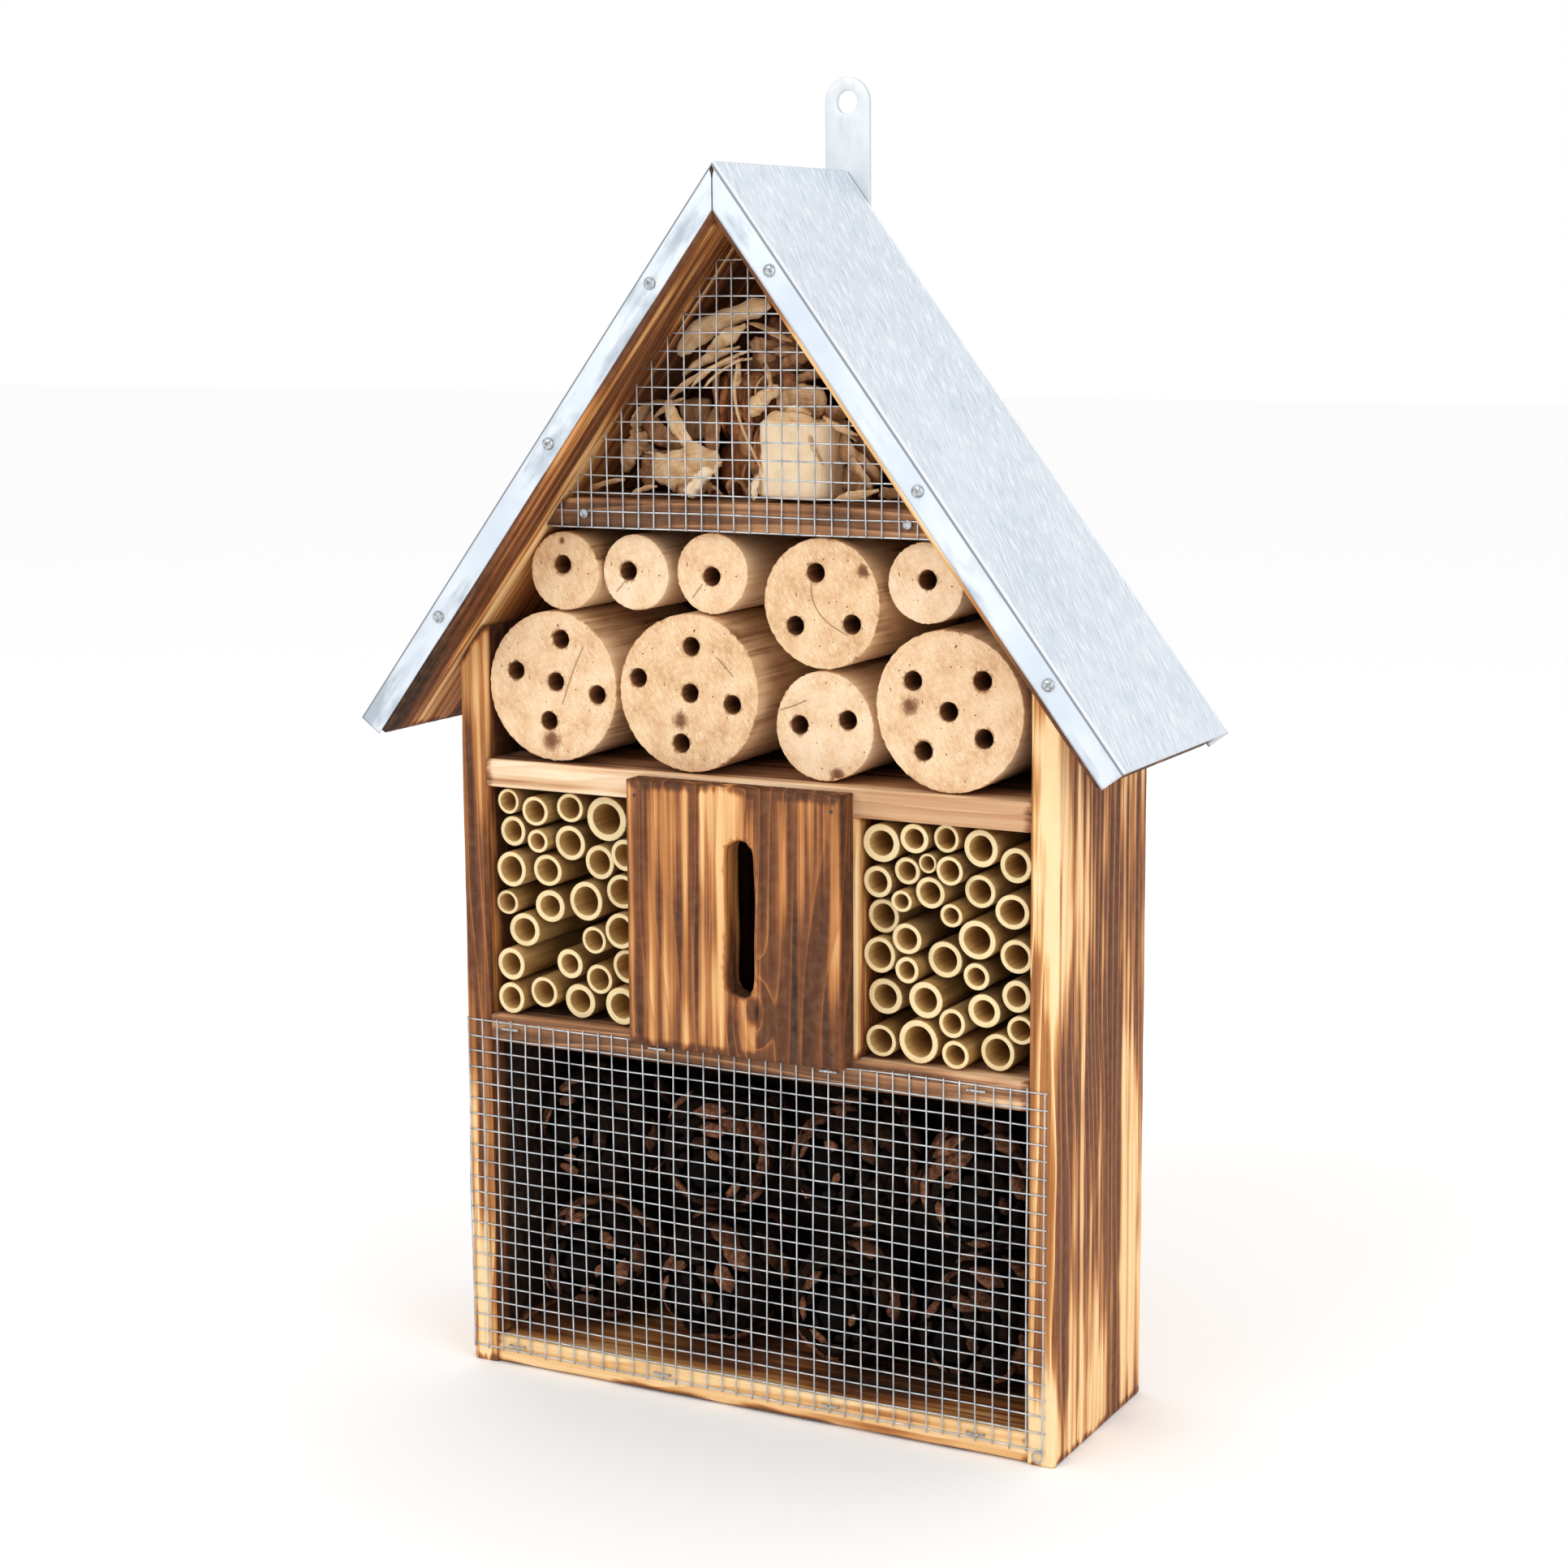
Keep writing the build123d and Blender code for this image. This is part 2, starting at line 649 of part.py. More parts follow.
def main():
    os.makedirs("parts", exist_ok=True)
    staples = [staple(x, z) for x, z in staple_places()]
    butterfly_nails = butterfly_nail_rods()
    back_nails = back_nail_rods()
    roof_rods = roof_screw_rods("front") + roof_screw_rods("rear")
    pins = staples + butterfly_nails + back_nails + roof_rods + mesh_nail_rods()

    far = back - sheet
    near = front - front_overhang + sheet
    joint = near + front_plank
    boards = {
        "left_side_board": side_board(-1),
        "right_side_board": side_board(1),
        "back_panel": back_panel(),
        "bottom_board": cross_board(bottom_top),
        "lower_shelf": cross_board(lower_shelf_top),
        "upper_shelf": cross_board(upper_shelf_top),
        "gable_shelf": gable_shelf(),
        "left_divider": divider(-1),
        "right_divider": divider(1),
        "butterfly_board": butterfly_board(),
        "left_roof_front_plank": roof_plank(-1, near, joint),
        "left_roof_rear_plank": roof_plank(-1, joint, far),
        "right_roof_front_plank": roof_plank(1, near, joint),
        "right_roof_rear_plank": roof_plank(1, joint, far),
    }
    for name, piece in boards.items():
        save(pierced(piece, touching(piece, pins)), name)

    heads = [rod(x, z, back, back + nail_head_height, nail_head_radius) for x, z in back_nail_places()]
    save(Compound([head + shank for head, shank in zip(heads, back_nails)]), "back_panel_nails")
    save(Compound(butterfly_nails), "butterfly_board_nails")
    save(Compound(staples), "lower_mesh_staples")
    save(mesh_nails(), "gable_mesh_nails")
    save(lower_mesh(), "lower_mesh")
    save(wire_curl(), "wire_curl")
    save(gable_mesh(), "gable_mesh")
    save(roof_sheet(), "roof_sheet")
    save(roof_screws("front"), "front_roof_screws")
    save(roof_screws("rear"), "rear_roof_screws")
    save(hanger_strap(), "hanger_strap")
    save(hanger_screws(), "hanger_screws")
    fillings = log_nodes() | reed_nodes("left", left_reeds) | reed_nodes("right", right_reeds)
    for name, piece in (fillings | cone_nodes() | gable_nodes()).items():
        save(piece, name)


main()
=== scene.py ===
import json
from math import cos, pi, radians, sin, tan

import bmesh
import bpy
import numpy as np
from mathutils import Matrix, Vector
from mathutils.geometry import delaunay_2d_cdt


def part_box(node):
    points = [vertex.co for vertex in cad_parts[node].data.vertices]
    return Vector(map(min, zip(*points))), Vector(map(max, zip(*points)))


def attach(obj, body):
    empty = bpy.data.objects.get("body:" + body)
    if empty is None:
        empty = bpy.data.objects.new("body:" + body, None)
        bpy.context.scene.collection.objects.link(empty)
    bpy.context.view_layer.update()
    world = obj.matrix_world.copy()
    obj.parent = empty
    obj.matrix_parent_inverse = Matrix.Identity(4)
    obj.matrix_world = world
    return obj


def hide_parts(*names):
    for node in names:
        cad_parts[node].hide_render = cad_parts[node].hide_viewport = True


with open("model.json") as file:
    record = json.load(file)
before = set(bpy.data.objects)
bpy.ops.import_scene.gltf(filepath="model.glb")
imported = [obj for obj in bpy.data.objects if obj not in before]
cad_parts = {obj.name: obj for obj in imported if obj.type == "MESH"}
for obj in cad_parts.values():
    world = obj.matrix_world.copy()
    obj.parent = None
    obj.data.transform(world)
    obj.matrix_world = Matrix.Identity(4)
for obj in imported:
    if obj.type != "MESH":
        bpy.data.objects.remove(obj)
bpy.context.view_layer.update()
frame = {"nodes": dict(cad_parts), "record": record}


# Side boards, shelves and dividers: sawn pine boards, flamed and brushed, so that the soft
# grain is sunk and browned and every arris is slightly rounded. They are nailed together.

mm = 0.001
roof_slope = radians(52.8)


def corners(node):
    """Lowest and highest corner of a node's place, as arrays."""
    return [np.array(corner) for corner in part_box(node)]


class Recipe:
    """Writes a node tree in short calls: settings in small letters, sockets with a capital."""

    def __init__(self, tree):
        self.tree = tree

    def feed(self, socket, value):
        if isinstance(value, bpy.types.NodeSocket):
            self.tree.links.new(value, socket)
        else:
            socket.default_value = value

    def add(self, kind, *values, **settings):
        node = self.tree.nodes.new("ShaderNode" + kind)
        for key, value in settings.items():
            if key[0].islower():
                setattr(node, key, value)
        for place, value in enumerate(values):
            self.feed(node.inputs[place], value)
        for key, value in settings.items():
            if key[0].isupper():
                self.feed(node.inputs[key.replace("_", " ")], value)
        return node

    def math(self, operation, *values, clamp=False):
        return self.add("Math", *values, operation=operation, use_clamp=clamp).outputs[0]

    def times(self, value, factor):
        return self.math("MULTIPLY", value, factor)

    def less(self, value, taken):
        return self.math("SUBTRACT", value, taken)

    def weighed(self, value, weight, rest):
        """The value times its weight, plus the rest."""
        return self.math("MULTIPLY_ADD", value, weight, rest)

    def vector(self, operation, *values):
        return self.add("VectorMath", *values, operation=operation).outputs[0]

    def length(self, vector):
        return self.add("VectorMath", vector, operation="LENGTH").outputs["Value"]

    def mix(self, share, first, second):
        """The first colour where share is 0 and the second where it is 1."""
        node = self.add("Mix", data_type="RGBA")
        for place, value in ((0, share), (6, first), (7, second)):
            self.feed(node.inputs[place], tone(value) if isinstance(value, tuple) else value)
        return node.outputs[2]

    def band(self, value, low, high, start=0.0, end=1.0):
        """Start below low, end above high, with a smooth change between."""
        node = self.add("MapRange", value, low, high, start, end, interpolation_type="SMOOTHSTEP")
        return node.outputs[0]

    def noise(self, vector, scale=1.0, detail=2.0, rough=0.5):
        node = self.add("TexNoise", Vector=vector, Scale=scale, Detail=detail, Roughness=rough)
        return node.outputs[0]

    def stretch(self, vector, x, y, z):
        return self.vector("MULTIPLY", vector, (x, y, z))

    def ramp(self, value, *stops):
        node = self.add("ValToRGB", value)
        bar = node.color_ramp.elements
        while len(bar) < len(stops):
            bar.new(0.5)
        for element, (place, colour) in zip(bar, stops):
            element.position, element.color = place, tone(colour)
        return node.outputs[0]

    def read(self, name, output="Fac"):
        """An attribute of the mesh: Fac for a number, Vector for a place."""
        return self.add("Attribute", attribute_name=name).outputs[output]

    def group(self, tree, **values):
        node = self.tree.nodes.new("ShaderNodeGroup")
        node.node_tree = tree
        for key, value in values.items():
            self.feed(node.inputs[key.replace("_", " ")], value)
        return node.outputs


def tone(display):
    """A colour in display values from 0 to 255, as the shader's linear values."""
    share = np.array(display) / 255
    linear = np.where(share <= 0.04045, share / 12.92, ((share + 0.055) / 1.055) ** 2.4)
    return (*linear.tolist(), 1.0)


def effect(name, inputs, outputs):
    """A shader group with named sockets; kinds are Float, Vector or Color."""
    tree = bpy.data.node_groups.new(name, "ShaderNodeTree")
    for way, sockets in (("INPUT", inputs), ("OUTPUT", outputs)):
        for socket, kind in sockets.items():
            tree.interface.new_socket(socket, in_out=way, socket_type="NodeSocket" + kind)
    recipe = Recipe(tree)
    given = tree.nodes.new("NodeGroupInput").outputs
    result = tree.nodes.new("NodeGroupOutput").inputs
    return tree, recipe, given, result


def finish(name, build):
    """A material: build(recipe) returns the sockets and values of its Principled shader."""
    material = bpy.data.materials.new(name)
    material.use_nodes = True
    recipe = Recipe(material.node_tree)
    shader = material.node_tree.nodes["Principled BSDF"]
    for key, value in build(recipe).items():
        recipe.feed(shader.inputs[key], value)
    return material


def bump(r, height, depth, strength=1.0):
    return r.add("Bump", Strength=strength, Distance=depth, Height=height).outputs[0]


def flamed_figure():
    """Growth lines are level lines of a field that rises across the board, waves slowly
    along it and swells round a knot. Scorch comes in long stripes and patches, and leaves
    the crests of the lines pale."""
    tree, r, given, result = effect(
        "flamed figure",
        {"Grain": "Vector", "Spacing": "Float", "Scorch": "Float", "Rim": "Float",
         "Soot": "Float", "Knot": "Vector", "Knot Size": "Float"},
        {"Dark": "Float", "Height": "Float"},
    )
    grain = given["Grain"]
    axes = r.add("SeparateXYZ", grain).outputs
    across = r.weighed(axes[2], 0.8, axes[1])
    gap = r.stretch(r.vector("SUBTRACT", grain, given["Knot"]), 0.42, 1.0, 0.2)
    away = r.math("DIVIDE", r.length(gap), given["Knot Size"])
    knot = r.math("EXPONENT", r.times(r.math("POWER", away, 2.0), -1.0))
    flow = r.noise(r.stretch(grain, 4.5, 26.0, 26.0), detail=1.5)
    ring = r.math("DIVIDE", across, given["Spacing"])
    ring = r.weighed(flow, 7.0, ring)
    ring = r.weighed(knot, 3.2, ring)
    phase = r.math("FRACT", ring)
    line = r.times(r.math("POWER", phase, 2.2), r.band(phase, 1.0, 0.9))
    crest = r.math("POWER", line, 1.8)
    fibre = r.noise(r.stretch(grain, 22.0, 1500.0, 1500.0), detail=2.0)
    streak = r.noise(r.stretch(grain, 5.0, 300.0, 300.0), detail=3.0)
    stripe = r.noise(r.stretch(grain, 2.4, 85.0, 60.0), detail=2.0, rough=0.55)
    patch = r.noise(r.stretch(grain, 6.0, 28.0, 22.0), detail=3.0, rough=0.6)
    edge = r.band(given["Rim"], 0.004, 0.0, 0.0, 0.12)
    flamed = r.weighed(stripe, 0.5, r.weighed(streak, 0.3, edge))
    flamed = r.weighed(patch, 0.85, flamed)
    level = r.weighed(given["Scorch"], -0.3, 1.02)
    scorch = r.band(r.less(flamed, level), -0.07, 0.09)
    hollow = r.weighed(crest, -0.7, 0.7)
    dark = r.weighed(line, 0.2, 0.07)
    dark = r.weighed(scorch, hollow, dark)
    dark = r.weighed(r.less(fibre, 0.5), 0.26, dark)
    dark = r.weighed(r.less(streak, 0.5), 0.5, dark)
    dark = r.weighed(r.band(away, 0.5, 0.2), 0.6, dark)
    # Soot and painted shade of the chambers darken the figure further.
    soot = r.times(given["Soot"], r.less(1.25, dark))
    dark = r.math("ADD", dark, soot, clamp=True)
    height = r.weighed(line, 0.6, r.times(fibre, 0.4))
    r.feed(result["Dark"], dark)
    r.feed(result["Height"], height)
    return tree


figure = flamed_figure()
honey_tones = (
    (0.0, (251, 218, 166)), (0.2, (234, 184, 122)), (0.42, (186, 120, 62)),
    (0.68, (116, 64, 30)), (1.0, (38, 20, 12)),
)
peach_tones = (
    (0.0, (248, 222, 188)), (0.25, (230, 192, 150)), (0.5, (190, 140, 100)),
    (0.75, (132, 88, 58)), (1.0, (46, 28, 18)),
)


def pine(name, tones, scorch, spacing=0.0055, knot=(9.0, 0.0, 0.0), knot_size=0.004):
    """Flamed pine: the figure's darkness picks a colour, and its lines stand proud."""
    def build(r):
        grain = r.read("grain", "Vector")
        out = r.group(figure, Grain=grain, Spacing=spacing, Scorch=scorch, Rim=r.read("rim"),
                      Soot=r.read("soot"), Knot=knot, Knot_Size=knot_size)
        dust = r.noise(grain, 260.0, 3.0)
        colour = r.ramp(out["Dark"], *tones)
        colour = r.mix(r.band(dust, 0.35, 0.75, 0.0, 0.08), colour, (204, 160, 112))
        rough = r.band(out["Dark"], 0.0, 1.0, 0.52, 0.78)
        return {"Base Color": colour, "Roughness": rough, "Specular IOR Level": 0.35,
                "Normal": bump(r, out["Height"], 0.0004, 0.5)}
    return finish(name, build)


def ring_quads(count, around):
    """The quads of a grid of points whose rows are closed rings."""
    index = np.arange(count * around).reshape(count, around)
    beside = np.roll(index, -1, 1)
    return np.stack([index[:-1], beside[:-1], beside[1:], index[1:]], -1).reshape(-1, 4)


def spots(x, y, z):
    """Points from coordinates that may be numbers or arrays, stretched to one shape."""
    return np.stack(np.broadcast_arrays(x, y, z), -1)


class Shell:
    """One piece gathered from point grids and flat faces, then merged into a closed mesh."""

    def __init__(self, *marks):
        self.points, self.faces, self.total = [], [], 0
        self.marks = {mark: [] for mark in marks}

    def add(self, points, faces, **marks):
        points = np.asarray(points, float).reshape(-1, 3)
        self.points.append(points)
        self.faces += (np.asarray(faces) + self.total).tolist()
        self.total += len(points)
        for mark, held in self.marks.items():
            wide = 3 if mark in ("grain", "lay") else 1
            values = np.asarray(marks.get(mark, np.zeros(wide)), float)
            held.append(np.broadcast_to(values.reshape(-1, wide), (len(points), wide)))

    def loft(self, rows, **marks):
        """Quads between neighbouring rings of points."""
        self.add(rows, ring_quads(*np.shape(rows)[:2]), **marks)

    def cap(self, ring, **marks):
        self.add(ring, [np.arange(len(ring))], **marks)

    def tube(self, rows, **marks):
        """Rings joined along a run, with a flat face over the first and the last."""
        self.loft(rows, **marks)
        for end in (0, -1):
            own = {mark: value[end] if np.ndim(value) > 1 else value for mark, value in marks.items()}
            self.cap(rows[end], **own)

    def make(self, name, material, merge=2e-6):
        """The mesh as a piece that stands for the frame's node of the same name."""
        mesh = bpy.data.meshes.new(name)
        mesh.from_pydata(np.vstack(self.points).tolist(), [], self.faces)
        for mark, held in self.marks.items():
            values = np.vstack(held)
            kind = "FLOAT_VECTOR" if values.shape[1] == 3 else "FLOAT"
            field = "vector" if values.shape[1] == 3 else "value"
            mesh.attributes.new(mark, kind, "POINT").data.foreach_set(field, values.ravel())
        work = bmesh.new()
        work.from_mesh(mesh)
        bmesh.ops.remove_doubles(work, verts=work.verts, dist=merge)
        bmesh.ops.recalc_face_normals(work, faces=work.faces)
        work.to_mesh(mesh)
        work.free()
        mesh.polygons.foreach_set("use_smooth", [True] * len(mesh.polygons))
        mesh.materials.append(material)
        piece = bpy.data.objects.new(name, mesh)
        bpy.context.scene.collection.objects.link(piece)
        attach(piece, "root")
        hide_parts(name)


arris = 0.8 * mm


def eased_rectangle(width, thick, step):
    """A board's section: straight runs between four quarter circles, and its outward directions."""
    middles = [(width - arris, arris), (width - arris, thick - arris), (arris, thick - arris), (arris, arris)]
    points, outward = [], []
    for quarter, middle in enumerate(middles):
        turn = pi / 2 * (quarter - 1 + np.linspace(0, 1, 5))
        bend = np.c_[np.cos(turn), np.sin(turn)]
        start = np.array(middle) + arris * bend
        end = np.array(middles[(quarter + 1) % 4]) + arris * bend[-1]
        count = max(2, round(float(np.hypot(*(end - start[-1]))) / step))
        share = np.linspace(0, 1, count + 1)[1:-1, None]
        points += [start, start[-1] + share * (end - start[-1])]
        outward += [bend, np.repeat(bend[-1:], count - 1, 0)]
    return np.vstack(points), np.vstack(outward)


def brushed(along, across, seed):
    """Depth brushed out between the growth lines: three waves across the board, whose
    phases wander slowly along it. Never above the sawn face."""
    waves = -1.45
    for height, width, wander, length, turn in (
            (0.5, 3.1, 0.35, 95, 1), (0.35, 4.7, 0.3, 61, 2.3), (0.6, 8.3, 0.5, 140, 3.7)):
        slow = np.sin(2 * pi * along / (length * mm) + seed * turn)
        waves = waves + height * np.sin(2 * pi * (across / (width * mm) + wander * slow))
    return 0.06 * mm * waves


def plank(name, frame_axes, base, size, material, soot, start=None, end=None, step=1.0 * mm):
    """The eased section carried along the grain, between two ends that may be cut at a slant:
    start and end say where each lies along the board, from the place across and through."""
    length, width, thick = size
    section, outward = eased_rectangle(width, thick, step)
    turns = np.radians([0, 0, 30, 60, 90])
    inset = arris * (1 - np.sin(turns))
    inset[0] = 2 * arris
    setback = arris * (1 - np.cos(turns))
    rows = max(6, round(length / (5 * mm)))
    shares = np.r_[np.zeros(5), np.arange(1, rows) / rows, np.ones(5)]
    inset = np.r_[inset, np.zeros(rows - 1), inset[::-1]][:, None]
    setback = np.r_[setback, np.zeros(rows - 1), -setback[::-1]][:, None]
    a = section[:, 0] - inset * outward[:, 0]
    t = section[:, 1] - inset * outward[:, 1]
    low = start(a, t) if start else np.zeros_like(a)
    high = end(a, t) if end else np.full_like(a, length)
    s = low + shares[:, None] * (high - low) + setback
    seed = sum(ord(letter) for letter in name) % 17
    corner = np.abs(outward[:, 0] * outward[:, 1]) * 2
    knocks = np.clip(np.sin(s / (9 * mm) + seed) * np.sin(s / (23 * mm) + 2 * seed), 0, 1)
    depth = brushed(s, a + 1.3 * t, seed) - 0.25 * mm * corner * knocks
    a, t = a + depth * outward[:, 0], t + depth * outward[:, 1]
    own = np.stack([s, a, t], -1)
    points = base + own @ np.array(frame_axes, float)
    grain = own + seed * np.array([0.37, 0.113, 0.071])
    rim = np.minimum(s - low, high - s)
    black = soot(points)
    shell = Shell("grain", "rim", "soot")
    shell.tube(points, grain=grain, rim=rim, soot=black)
    shell.make(name, material)


shelf_low, shelf_high = corners("lower_shelf")
front, panel_front, inner_half = shelf_low[1], shelf_high[1], shelf_high[0]
bottom_top = corners("bottom_board")[1][2]
hair = 0.3 * mm


def painted_chamber_shade(points):
    """Painted shade inside the chambers, for the dark of their depth: strong in the lowest chamber,
    where the floor has worn patches, lighter further up, and growing over the first few
    millimetres behind the front."""
    x, y, z = points[..., 0] / mm, points[..., 1], points[..., 2]
    behind = np.clip((y - front - 1.5 * mm) / (9 * mm), 0, 1)
    inside = (np.abs(x) * mm < inner_half + hair) & (z > bottom_top - hair)
    patches = ((0.36, -62, 24), (0.2, 8, 14), (0.4, 88, 24))
    worn = sum(deep * np.exp(-((x - middle) / wide) ** 2) for deep, middle, wide in patches)
    level = np.where(z < shelf_low[2] + hair, 0.82, 0.42)
    level = np.where(z < bottom_top + hair, 0.6 - worn, level)
    return behind * inside * level


def on_front(points):
    return np.clip((front + 1.2 * mm - points[..., 1]) / mm, 0, 1)


def browned_right(points):
    """The inside's painted shade, with the front of a shelf browned at its right half."""
    brown = 0.3 * on_front(points) * np.clip((points[..., 0] - 20 * mm) / (30 * mm), 0, 1)
    return np.maximum(painted_chamber_shade(points), brown)


def browned_left(points):
    """The inside's painted shade, with the front browned but for its right end."""
    brown = 0.26 * on_front(points) * np.clip((62 * mm - points[..., 0]) / (30 * mm), 0, 1)
    return np.maximum(painted_chamber_shade(points), brown)


def browned_below(points):
    """The inside's painted shade, with the lowest edge of the front scorched here and there."""
    x, z = points[..., 0] / mm, points[..., 2] / mm
    ragged = 1.6 + 0.9 * np.sin(x / 9.1) + 0.7 * np.sin(x / 4.3 + 1) + 0.9 * np.sin(x / 31 + 2)
    return np.maximum(painted_chamber_shade(points), 0.5 * np.clip((ragged - z) / 1.2, 0, 1))


def browned_above(points):
    """The inside's painted shade, with fronts left paler, but for the left one above its foot."""
    x, z = points[..., 0], points[..., 2]
    upper = np.clip((z - 50 * mm) / (70 * mm), 0, 1)
    change = np.where(x < 0, 0.5 * upper - 0.35, -0.35 - 0.25 * upper)
    return np.where(on_front(points) > 0, on_front(points) * change, painted_chamber_shade(points))


outer_flame = pine("flamed_side_pine", honey_tones, 0.77, 0.0044)
front_flame = pine("flamed_inner_pine", honey_tones, 0.42, 0.005)
peach_pine = pine("planed_shelf_pine", peach_tones, 0.6, 0.0042)

up, right, back_way = (0, 0, 1), (1, 0, 0), (0, 1, 0)
for side, node in ((-1, "left_side_board"), (1, "right_side_board")):
    low, high = corners(node)
    length, depth, thick = (high - low)[[2, 1, 0]]

    def slanted(a, t):
        from_inner = thick - t if side < 0 else t
        return length - tan(roof_slope) * from_inner

    plank(node, (up, back_way, right), low, (length, depth, thick), outer_flame,
          soot=browned_above, end=slanted)

for node, wood, browned in (
        ("bottom_board", front_flame, browned_below), ("lower_shelf", peach_pine, painted_chamber_shade),
        ("upper_shelf", peach_pine, browned_right)):
    low, high = corners(node)
    plank(node, (right, back_way, up), low, high - low, wood, soot=browned)

low, high = corners("gable_shelf")
plank("gable_shelf", (right, back_way, up), low, high - low, peach_pine, soot=browned_left,
      start=lambda a, t: t / tan(roof_slope),
      end=lambda a, t: high[0] - low[0] - t / tan(roof_slope))

for node in ("left_divider", "right_divider"):
    low, high = corners(node)
    size = (high - low)[[2, 1, 0]]
    plank(node, (up, back_way, right), low, size, front_flame, soot=painted_chamber_shade)


# Back panel: one thin flamed board, pointed under the roof, set between the side boards and
# nailed to the shelves. Two screws of the hanging strap go through it.

def spread(ring, by):
    """A closed outline (x, z), counter-clockwise, moved outwards by a distance at every point."""
    ahead = np.roll(ring, -1, 0) - np.roll(ring, 1, 0)
    outward = np.c_[ahead[:, 1], -ahead[:, 0]]
    return ring + by * outward / np.linalg.norm(outward, axis=1, keepdims=True)


def within(points, ring):
    """Which points are inside a closed outline, by counting the edges to one side of each."""
    x, z = points[:, None, 0], points[:, None, 1]
    one, two = ring, np.roll(ring, -1, 0)
    spans = (one[:, 1] > z) != (two[:, 1] > z)
    rise = np.where(two[:, 1] == one[:, 1], 1.0, two[:, 1] - one[:, 1])
    meets = one[:, 0] + (two[:, 0] - one[:, 0]) * (z - one[:, 1]) / rise
    return (spans & (x < meets)).sum(1) % 2 == 1


def in_sheet(points, rings):
    """Which points are inside the first outline and outside the holes that follow it."""
    return within(points, rings[0]) & ~np.any([within(points, hole) for hole in rings[1:]], axis=0)


def gap_to(points, others):
    """Distance of each point from the nearest of the others."""
    return np.linalg.norm(points[:, None] - others, axis=2).min(1)


def faced(rings, step, seam=()):
    """Triangles over a flat outline with holes, with points every step or so between them, and
    closer ones given along a seam."""
    low, high = rings[0].min(0) + step / 2, rings[0].max(0)
    cells = np.stack(np.meshgrid(np.arange(low[0], high[0], step), np.arange(low[1], high[1], step)), -1)
    cells[::2, :, 0] += step / 2
    inner = cells.reshape(-1, 2)
    inner = inner[in_sheet(inner, rings)]
    edge = np.vstack(rings)
    if len(seam):
        seam = seam[(gap_to(seam, edge) > 0.3 * step) & in_sheet(seam, rings)]
        inner = inner[gap_to(inner, seam) >= 0.5 * step]
    inner = inner[gap_to(inner, edge) > 0.6 * step]
    points = np.vstack([edge, inner, np.reshape(seam, (-1, 2))])
    edges, start = [], 0
    for ring in rings:
        index = np.arange(len(ring)) + start
        edges += np.c_[index, np.roll(index, -1)].tolist()
        start += len(ring)
    flat, _, faces = delaunay_2d_cdt((points / mm).tolist(), edges, [], 1, 1e-7, False)[:3]
    flat, faces = np.array([tuple(point) for point in flat]) * mm, np.array([tuple(face) for face in faces])
    return flat, faces[in_sheet(flat[faces].mean(1), rings)]


def pierced_block(shell, outline, holes, near, far, ease, step, relief, marks,
                  blind=None, rows=10, seam=()):
    """An outline (x, z) carried from near to far along Y, with eased edges and holes that go
    through it, or to a blind depth. relief(x, z) sinks the front face; marks(points, part)
    gives the attributes of each part: face, side, hole, floor or rear."""
    turns = np.radians([0, 22.5, 45, 67.5, 90])

    def add(part, points, faces):
        shell.add(points, faces, **marks(points, part))

    def front_at(flat):
        return spots(flat[:, 0], near + relief(flat[:, 0], flat[:, 1]), flat[:, 1])

    def walls(ring, sign, end, part, ease_end):
        """Rings of points from the front face round its eased edge and along to the end."""
        eased = [(spread(ring, sign * ease * (1 - sin(turn))), ease * (1 - cos(turn))) for turn in turns]
        start = front_at(eased[0][0])[:, 1]
        loops = [spots(flat[:, 0], start + back, flat[:, 1]) for flat, back in eased]
        begin, last = loops[-1][:, 1], end - ease if ease_end else end
        for share in np.linspace(0, 1, rows)[1:]:
            loops.append(spots(ring[:, 0], begin * (1 - share) + last * share, ring[:, 1]))
        if ease_end:
            loops += [spots(flat[:, 0], end - back, flat[:, 1]) for flat, back in eased[-2::-1]]
        add(part, np.vstack(loops), ring_quads(len(loops), len(ring)))
        return loops[-1]

    flat, faces = faced([spread(outline, -ease)] + [spread(hole, ease) for hole in holes], step, seam)
    add("face", front_at(flat), faces)
    through = blind is None
    rim = walls(outline, -1, far, "side", True)
    ends = [walls(hole, 1, far if through else near + blind, "hole", through) for hole in holes]
    if through:
        flat, faces = faced([end[:, [0, 2]] for end in (rim, *ends)], 2 * step)
        add("rear", spots(flat[:, 0], far, flat[:, 1]), faces)
    else:
        for part, end in [("rear", rim)] + [("floor", end) for end in ends]:
            add(part, end, [np.arange(len(end))])


def polygon(corner_points, step):
    """A closed outline with points every step along straight sides."""
    runs = []
    for one, two in zip(corner_points, np.roll(corner_points, -1, 0)):
        count = max(1, round(float(np.hypot(*(two - one))) / step))
        runs.append(one + (two - one) * np.linspace(0, 1, count + 1)[:-1, None])
    return np.vstack(runs)


def circle(x, z, radius, count=24):
    turn = np.linspace(0, 2 * pi, count, endpoint=False)
    return np.c_[x + radius * np.cos(turn), z + radius * np.sin(turn)]


def upright_grain(points, kind):
    """Grain up the board; the face towards the rooms is darkened with painted shade, for the dark of the
    rooms; the outside is not.
    """
    grain = points[:, [2, 0, 1]] + (0.4, 0.3, 0.1)
    inside = np.where(points[:, 1] < panel_front + 1 * mm, 0.9, 0.0)
    rim = np.minimum(points[:, 2] - points[:, 2].min(), 0.02) if kind == "face" else 0.02
    return {"grain": grain, "rim": rim, "soot": inside}


